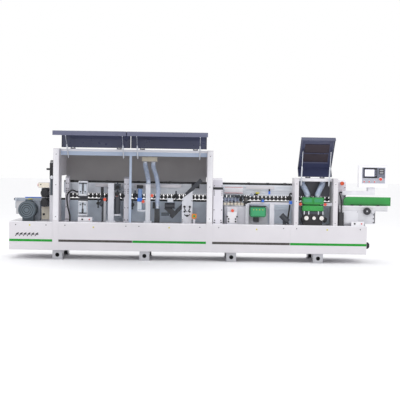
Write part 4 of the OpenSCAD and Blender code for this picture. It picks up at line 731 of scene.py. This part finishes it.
fin_grey = enamel("fin_grey", (92, 104, 114), shade=0.2, rough=0.48)
motor_front("drive_fan_cover", (-2.485, -0.4815, 0.757), 0.126, fin_grey)
for name, z in (("buff_cap_upper", 1.018), ("buff_cap_lower", 0.870)):
    turned(name, (-2.225, -0.4005, z), [(0.060, 0.010), (0.052, 0.018), (0.026, 0.008)], dark_parts_and_shade, sides=40,
           edge=0.002)
    block(f"{name}_flange", (-2.296, -0.260, z - 0.064), (-2.154, -0.196, z + 0.064), motor_grey,
          edge=0.006)
turned("run_out_nose", (-2.7225, -0.1405, 0.908), [(0.020, 0.003), (0.010, 0.003)], dark_parts_and_shade, sides=24)
block("run_out_scale", (-2.569, -0.138, 0.9318), (-2.312, -0.070, 0.945), blue, edge=0.002)
block("run_out_clamp", (-2.515, -0.162, 0.884), (-2.452, -0.1408, 0.920), yellow, edge=0.004, frame_w=0.008,
      sunk=0.004)
block("switch_box_lid", (-2.321, -0.4045, 1.102), (-2.154, -0.4005, 1.177), cream, edge=0.002,
      frame_w=0.006, sunk=0.001)
turned("switch_box_button", (-2.326, -0.31, 1.138), [(0.014, 0.006), (0.022, 0.012)], red, sides=24,
       along=(-1, 0, 0))
turned("switch_box_key", (-2.285, -0.405, 1.148), [(0.009, 0.005), (0.006, 0.006)], dark_parts_and_shade, sides=20)
block("stand_sleeve_upper", (-2.150, -0.4035, 1.235), (-2.086, -0.4005, 1.485), dark_parts_and_shade, edge=0.001)
block("stand_sleeve_lower", (-2.140, -0.4035, 0.985), (-2.086, -0.4005, 1.235), motor_grey, edge=0.001,
      frame_w=0.01, sunk=0.001)
block("stand_wheel_arm", (-2.205, -0.372, 1.372), (-2.1475, -0.330, 1.402), dark_parts_and_shade, edge=0.006)
turned("stand_spring", (-2.118, -0.402, 1.262), [(0.026, 0.012), (0.018, 0.010)], steel, sides=24)
for number in range(5):
    block(f"stand_cap_{number}", (-2.146 + 0.002 * number, -0.398, 1.4905 + 0.0075 * number),
          (-2.090 - 0.002 * number, -0.254, 1.4965 + 0.0075 * number), dark_parts_and_shade, edge=0.002)
block("buff_plate_cover", (-2.298, -0.1985, 0.60), (-2.152, -0.1955, 0.80), cream, edge=0.001, frame_w=0.01,
      sunk=0.001)
turned("buff_plate_boss", (-2.262, -0.199, 0.680), [(0.018, 0.010), (0.010, 0.012)], dark_parts_and_shade, sides=20)

# ---- Glue station ----
# The glue pot is enamelled green. The glue roller is knurled steel, the counter roller has a
# cream silicone sleeve, and pneumatic cylinders with blue bodies press from above.
dress(patched("glue_coat", (216, 216, 224), [((0.52, -far, 0.925), (0.86, far, 0.99), (138, 146, 176)),
                                            ((0.52, -0.1285, 0.85), (0.86, far, 0.925), (214, 204, 192))]),
      "glue_unit")
dress(enamel("pot_green", (38, 132, 84), shade=0.3, rough=0.4), "glue_pot")
dress(machined("knurled_roller", (150, 148, 146), 0.4, (60, 60, 60)), "glue_roller")
dress(enamel("silicone_sleeve", (226, 214, 198), shade=0.1, rough=0.55), "press_roller")
for number in range(6):
    x = 0.565 + number * 0.055
    turned(f"roller_bank_{number}", (x, -0.232, 0.886), [(0.023, 0.012), (0.016, 0.010), (0.008, 0.010)],
           cream, sides=24)
    block(f"roller_bank_arm_{number}", (x - 0.010, -0.248, 0.910), (x + 0.010, -0.232, 0.990), slide_grey,
          edge=0.002)
    block(f"roller_bank_head_{number}", (x - 0.020, -0.226, 0.985), (x + 0.020, -0.190, 1.030), motor_grey,
          edge=0.004)
block("roller_bank_rail", (0.545, -0.2315, 0.858), (0.860, -0.2405, 0.866), steel, edge=0.001)
block("counter_plate", (0.602, -0.3845, 0.600), (0.748, -0.3808, 0.770), pale_and_highlight, edge=0.002, frame_w=0.010,
      sunk=0.0015)
for number, (x, z) in enumerate(((0.622, 0.62), (0.730, 0.62), (0.622, 0.66), (0.730, 0.66), (0.600, 0.695),
                                 (0.752, 0.695))):
    turned(f"counter_plate_foot_{number}", (x, -0.385, z), [(0.013, 0.008), (0.008, 0.006)], dark_parts_and_shade,
           sides=16)
pot_low, pot_high = corners("glue_pot")
pot_green = enamel("pot_cover_green", (52, 158, 104), shade=0.2, rough=0.35)
block("pot_cover", (pot_low.x + 0.018, pot_low.y - 0.006, pot_low.z + 0.018),
      (pot_high.x - 0.018, pot_low.y - 0.0004, pot_high.z - 0.018),
      pot_green, edge=0.004, frame_w=0.014, sunk=0.003)
block("pot_rim", (pot_low.x - 0.004, pot_low.y + 0.004, pot_high.z + 0.0005),
      (pot_high.x + 0.004, pot_high.y - 0.004, pot_high.z + 0.012), dark_parts_and_shade, edge=0.003)
for number in range(4):
    x = pot_low.x + 0.055 + number * 0.047
    turned(f"pot_bolt_{number}", (x, pot_low.y - 0.0065, pot_high.z - 0.045),
           [(0.008, 0.004), (0.005, 0.003)], yellow, sides=10)
block("pot_heater", (pot_low.x + 0.06, pot_low.y + 0.02, pot_low.z - 0.075),
      (pot_low.x + 0.14, pot_high.y - 0.02, pot_low.z - 0.002), dark_parts_and_shade, edge=0.006)
block("post_face", (1.262, -0.245, 0.60), (1.326, -0.2405, 0.90), pale_and_highlight, edge=0.001)
bay_bolts("post_bolt", [(x, -0.2405, z) for x in (0.897, 0.929, 1.275, 1.313) for z in (0.605, 0.80, 0.84)],
          0.008)
for name, x, z, high_z, width in (("left_clamp", 1.1325, 0.925, 0.962, 0.038),
                                  ("right_clamp", 1.563, 0.900, 0.950, 0.046)):
    block(name, (x, -0.334, z), (x + width, -0.3008, high_z), blue, edge=0.005, frame_w=0.008, sunk=0.003)
block("clamp_carriage", (1.125, -0.264, 0.928), (1.18, -0.230, 0.985), motor_grey, edge=0.004)
block("valve_body", (1.254, beam_low.y - 0.034, 1.040), (1.282, beam_low.y - 0.0042, 1.090), blue,
      edge=0.004, body="pressure_beam")
block("valve_top", (1.256, beam_low.y - 0.030, 1.0905), (1.280, beam_low.y - 0.0042, 1.125), dark_parts_and_shade,
      edge=0.004, body="pressure_beam")
block("sensor_body", (1.026, beam_low.y - 0.040, 1.022), (1.085, beam_low.y - 0.0046, 1.046), dark_parts_and_shade,
      edge=0.005, body="pressure_beam")
block("sensor_head", (1.052, beam_low.y - 0.044, 1.047), (1.110, beam_low.y - 0.0046, 1.072), yellow,
      edge=0.005, body="pressure_beam")
for number, (low_x, low_z, high_x, high_z) in enumerate(((0.86, 0.985, 1.02, 1.000),
                                                         (0.72, 0.998, 0.90, 1.010),
                                                         (0.86, 0.90, 0.97, 0.93))):
    block(f"tape_guide_{number}", (low_x, -0.300, low_z), (high_x, -0.244, high_z), dark_parts_and_shade, edge=0.004,
          turn=8 - 9 * number)
for number, (x, z, radius) in enumerate(((0.98, 1.030, 0.026), (0.815, 0.955, 0.030), (1.05, 0.995, 0.02))):
    turned(f"tape_roller_{number}", (x, -0.232, z), [(radius, 0.03), (radius * 0.6, 0.02),
                                                     (radius * 0.3, 0.02)],
           dark_parts_and_shade if number else slide_grey, sides=28)

# ---- Pre-milling unit ----
# Two spindle motors stand side by side behind a black plate with three white depth dials. Green
# cast hoods cover the cutters, and the feed knobs at both sides are red.
dress(patched("mill_hood_green", (40, 152, 62), [((-far, -0.2005, 0.79), (far, far, 0.90), (34, 128, 56))]),
      "dust_hoods")
dress(machined("carbide_cutter", (120, 122, 128), 0.32, (40, 40, 4)), "premill_cutter_left",
      "premill_cutter_right")
dial_white = enamel("dial_white", (246, 244, 240), shade=0.03, rough=0.3, coat=0.5)
for number, x in enumerate((1.830, 1.948, 2.066)):
    size = 0.027 if number == 1 else 0.034
    turned(f"dial_bezel_{number}", (x, -0.3525, 0.690), [(size + 0.008, 0.012), (size + 0.003, 0.006)],
           dark_parts_and_shade, sides=40, edge=0.002)
    turned(f"dial_face_{number}", (x, -0.3708, 0.690), [(size, 0.002), (size * 0.35, 0.004)], dial_white,
           sides=40, edge=0.0008)
    block(f"dial_hand_{number}", (x - 0.002, -0.3755, 0.690), (x + 0.002, -0.3732, 0.690 + size * 0.7), red,
          edge=0.0005)
for side, x in (("left", 1.782), ("right", 2.114)):
    turned(f"mill_fan_{side}", (x, -0.3305, 0.665), [(0.040, 0.016), (0.034, 0.010)], dark_parts_and_shade, sides=32)
block("mill_cross_plate", (1.772, -0.3365, 0.755), (2.088, -0.3305, 0.792), motor_grey, edge=0.002)
for number, x in enumerate((1.80, 1.87, 2.02, 2.09)):
    block(f"mill_slide_{number}", (x - 0.012, -0.348, 0.745), (x + 0.006, -0.3368, 0.798), steel,
          edge=0.002)
for side, (left, right) in (("left", (1.772, 1.922)), ("right", (1.938, 2.088))):
    block(f"mill_hood_rib_{side}", (left + 0.012, -0.3635, 0.935), (right - 0.012, -0.3605, 0.992),
          pot_green, edge=0.002, frame_w=0.008, sunk=0.0015)
block("mill_hood_band", (1.775, -0.3635, 0.806), (2.083, -0.3605, 0.880),
      enamel("lower_cover_green", (46, 160, 70), shade=0.12, rough=0.3), edge=0.0015)
mill_low, mill_high = corners("premill_housing")
for name, x, width in (("mill_leg_left", mill_low.x, 0.066), ("mill_leg_right", mill_high.x - 0.072,
                                                              0.072)):
    block(f"{name}_cover", (x + 0.004, front - 0.0035, deck + 0.004),
          (x + width - 0.004, front - 0.0004, mill_high.z - 0.06), white, edge=0.0012)
    for number, z in enumerate((0.62, 0.95, 1.22)):
        turned(f"{name}_screw_{number}", (x + width / 2, front - 0.0035, z),
               [(0.006, 0.001), (0.004, 0.0015)], dark_screw, sides=12, edge=0.0004)
block("mill_bar_edge", (mill_low.x + 0.07, -0.3245, 1.262), (mill_high.x - 0.076, -0.3205, 1.305), pale_and_highlight,
      edge=0.001)
# The housing's rear wall behind the cutters is painted dark grey between Z 0.9 and 1.301, painted shade
# inside the housing.
dress(patched("housing_coat_painted_shade", (218, 215, 220), [((1.695, -0.0745, 0.9), (2.219, -0.0655, 1.301),
                                                 (98, 98, 110))]), "premill_housing")

# ---- Infeed table, fence and control panel ----
# A coated infeed table with a green steel fence and a black tape disc below it. The control
# panel hangs on a white arm: a touch screen, a small meter, three red buttons and a stop button.
dress(patched("table_coat", (214, 214, 218), [((-far, -far, 0.8955), (far, far, 0.8975), (188, 190, 196))]),
      "infeed_table")
dress(enamel("fence_green", (36, 150, 62), shade=0.08, rough=0.36, coat=0.3), "infeed_fence")
dress(patched("cabinet_coat", (206, 206, 212), []), "infeed_cabinet")
dress(patched("disc_black", (38, 38, 44), [((2.74, -0.4815, 0.802), (2.764, -0.47, 0.826),
                                            (190, 190, 196))]), "tape_disc")
dress(patched("arm_coat", (232, 231, 238), [((2.30, -0.51, 0.5), (2.40, -0.43, 0.8), (44, 44, 48))]),
      "panel_arm")
dress(enamel("panel_shell", (244, 243, 248), shade=0.03, rough=0.32, coat=0.3), "control_panel")
dress(patched("box_coat", (226, 225, 232), [((0.04, -0.405, 0.65), (0.14, -0.33, 0.74), (224, 134, 46)),
                                           ((0.072, -0.43, 0.677), (0.106, -0.3995, 0.711), (40, 150, 66)),
                                           ((-1.67, -0.46, 0.59), (-1.61, -0.4045, 0.65), (30, 30, 34)),
                                           ((2.53, -0.54, 0.59), (2.59, -0.4915, 0.65), (30, 30, 34))]),
      "control_boxes")
button_red = enamel("button_red", (206, 40, 44), rough=0.28, coat=0.5)
dress(button_red, "panel_button_1", "panel_button_2", "panel_button_3", "box_button_bay",
      "box_button_infeed")
dress(enamel("stop_red", (222, 62, 44), rough=0.3, coat=0.5), "estop_button")
bezel_grey = enamel("bezel_grey", (112, 116, 132), shade=0.06, rough=0.4)
panel_low, panel_high = corners("control_panel")
bezel = panel_low.y
for name, low, high, finish, rim, sunk in (
        ("panel_upper_band", (2.682, 1.322), (3.036, 1.488), bezel_grey, 0.0, 0.0),
        ("panel_lower_band", (2.682, 1.246), (3.036, 1.318), enamel("band_light", (176, 178, 190),
                rough=0.4), 0.0, 0.0),
        ("screen_frame", (2.702, 1.328), (2.912, 1.482), dark_parts_and_shade, 0.010, 0.002),
        ("meter_frame", (2.938, 1.388), (3.018, 1.470), dark_parts_and_shade, 0.006, 0.0015)):
    step = 0.0035 if "band" in name else 0.0075
    block(name, (low[0], bezel - step, low[1]), (high[0], bezel - (0.0004 if "band" in name else 0.0036),
                                                 high[1]), finish, edge=0.0012, frame_w=rim, sunk=sunk,
          body="control_panel")
screen = Finish("screen_glass", 0.12, 0.0, 0.6)
screen_rows = screen.ramp(screen.noise(40.0, 1.0, (0.2, 1, 3)), 0.45, 0.6, 0.0, 0.5)
screen.colour(screen.mix(screen_rows, linear(236, 234, 248), linear(212, 214, 236)))
screen.shader.inputs["Emission Color"].default_value = linear(226, 226, 246)
screen.shader.inputs["Emission Strength"].default_value = 0.25
block("screen_glass", (2.720, bezel - 0.0082, 1.352), (2.868, bezel - 0.0056, 1.458), screen.material,
      edge=0.0006, body="control_panel")
for number in range(4):
    block(f"screen_key_{number}", (2.878, bezel - 0.0092, 1.360 + number * 0.026),
          (2.902, bezel - 0.0056, 1.378 + number * 0.026), bezel_grey, edge=0.0015, body="control_panel")
meter_glass = enamel("meter_glass", (150, 150, 156), rough=0.2, coat=0.6)
for number, z in enumerate((1.398, 1.434)):
    block(f"meter_window_{number}", (2.948, bezel - 0.0085, z), (3.008, bezel - 0.0062, z + 0.024),
          meter_glass, edge=0.0012, body="control_panel")
estop_low, estop_high = corners("estop_button")
centre_x, centre_z = (estop_low.x + estop_high.x) / 2, (estop_low.z + estop_high.z) / 2
bpy.ops.object.select_all(action="DESELECT")
bpy.ops.mesh.primitive_cylinder_add(vertices=48, radius=0.031, depth=0.002,
                                    location=(centre_x, bezel - 0.0048, centre_z),
                                    rotation=(math.pi / 2, 0, 0))
ring = bpy.context.object
bpy.ops.object.transform_apply(location=True, rotation=True, scale=True)
choose(ring, lambda c, n: n.y < -0.99)
bpy.ops.mesh.inset(thickness=0.006, depth=0.001)
bpy.ops.object.mode_set(mode="OBJECT")
settle(ring, "stop_ring", "control_panel", steel)
for number in range(1, 4):
    low, high = corners(f"panel_button_{number}")
    turned(f"button_bezel_{number}", ((low.x + high.x) / 2, bezel - 0.0036, (low.z + high.z) / 2),
           [(0.0175, 0.0015), (0.0165, 0.001)], steel, sides=32, edge=0.0004, body="control_panel")
block("panel_rim", (panel_low.x + 0.006, panel_low.y + 0.004, panel_high.z - 0.006),
      (panel_high.x - 0.006, panel_low.y + 0.10, panel_high.z - 0.0005),
      pale_and_highlight, edge=0.002, body="control_panel")
fence_low, fence_high = corners("infeed_fence")
fence_dark = enamel("fence_dark", (26, 112, 46), rough=0.4)
block("fence_strip", (fence_low.x + 0.10, fence_low.y - 0.0042, fence_low.z + 0.010),
      (fence_high.x - 0.02, fence_low.y - 0.0004, fence_low.z + 0.024), fence_dark, edge=0.001)
block("fence_end", (fence_high.x - 0.010, fence_low.y - 0.0042, fence_low.z + 0.004),
      (fence_high.x - 0.001, fence_low.y - 0.0004, fence_high.z - 0.004), fence_dark, edge=0.001)
table_low, table_high = corners("infeed_table")
block("table_edge", (table_low.x + 0.004, table_low.y - 0.0035, table_high.z - 0.016),
      (table_high.x - 0.004, table_low.y - 0.0004, table_high.z - 0.003), pale_and_highlight, edge=0.001)
for number, x in enumerate((2.50, 2.63, 2.90)):
    block(f"table_lock_{number}", (x, -0.452, 0.898), (x + 0.045, -0.425, 0.912), dark_parts_and_shade, edge=0.003)
turned("disc_hub_plate", (2.752, -0.449, 0.814), [(0.05, 0.0004), (0.048, 0.0003)], dark_parts_and_shade, sides=32,
       edge=0.0001)
block("cabinet_door", (2.34, -0.4435, 0.632), (2.62, -0.4404, 0.812), enamel("door_coat", (216, 216, 222)),
      edge=0.0015, frame_w=0.012, sunk=0.001)
block("cabinet_side_strip", (2.872, -0.4435, 0.635), (2.882, -0.4404, 0.812), dark_parts_and_shade, edge=0.001)
bay_bolts("cabinet_screw", [(x, -0.4435, z) for x in (2.352, 2.606) for z in (0.644, 0.80)], 0.005)
turned("panel_arm_knuckle", (2.835, -0.265, 1.1785), [(0.030, 0.0008), (0.028, 0.0004)], dark_parts_and_shade, sides=32,
       edge=0.0002, along=(0, 0, 1))
low, high = corners("lift_crank")
for name, places in (("bay_box", (-1.708, -1.486, -0.4052, 0.580, 0.655)),
                     ("infeed_box", (2.509, 2.707, -0.4922, 0.580, 0.655))):
    left, right, y, bottom, top = places
    block(f"{name}_plate", (left + 0.006, y - 0.0016, bottom + 0.006),
          (right - 0.006, y - 0.0001, top - 0.006), pale_and_highlight, edge=0.0006)

# ---- Floor and studio ----
# A pale floor that runs out into a white surround, with three large soft lamps.
bpy.ops.object.select_all(action="DESELECT")
studio = enamel("studio_grey", (250, 250, 252), shade=0.01, rough=0.9, coat=0.0, peel=0.00002)
bpy.ops.mesh.primitive_plane_add(size=1, location=(0, 20, 0))
floor = bpy.context.object
floor.scale = (160, 120, 1)
bpy.ops.object.transform_apply(location=True, rotation=False, scale=True)
choose(floor, lambda c, n: True)
bpy.ops.mesh.subdivide(number_cuts=3)
bpy.ops.object.mode_set(mode="OBJECT")
floor.name = "floor"
floor.data.materials.append(studio)

world = bpy.data.worlds.new("studio")
world.use_nodes = True
world.node_tree.nodes["Background"].inputs["Color"].default_value = (1.0, 1.0, 1.0, 1)
world.node_tree.nodes["Background"].inputs["Strength"].default_value = 1.0
bpy.context.scene.world = world
for name, place, target, size, power in (
        ("key", (-4.5, -8.5, 7.5), (0, 0, 0.8), 6.0, 150),
        ("fill", (5.5, -9.0, 5.0), (0, 0, 0.8), 6.0, 80),
        ("top", (0.0, 1.0, 8.0), (0, 0, 0.5), 9.0, 150)):
    data = bpy.data.lights.new(name, "AREA")
    data.size = size
    data.energy = power
    lamp = bpy.data.objects.new(name, data)
    bpy.context.scene.collection.objects.link(lamp)
    lamp.location = place
    lamp.rotation_euler = (Vector(target) - Vector(place)).to_track_quat("-Z", "Y").to_euler()
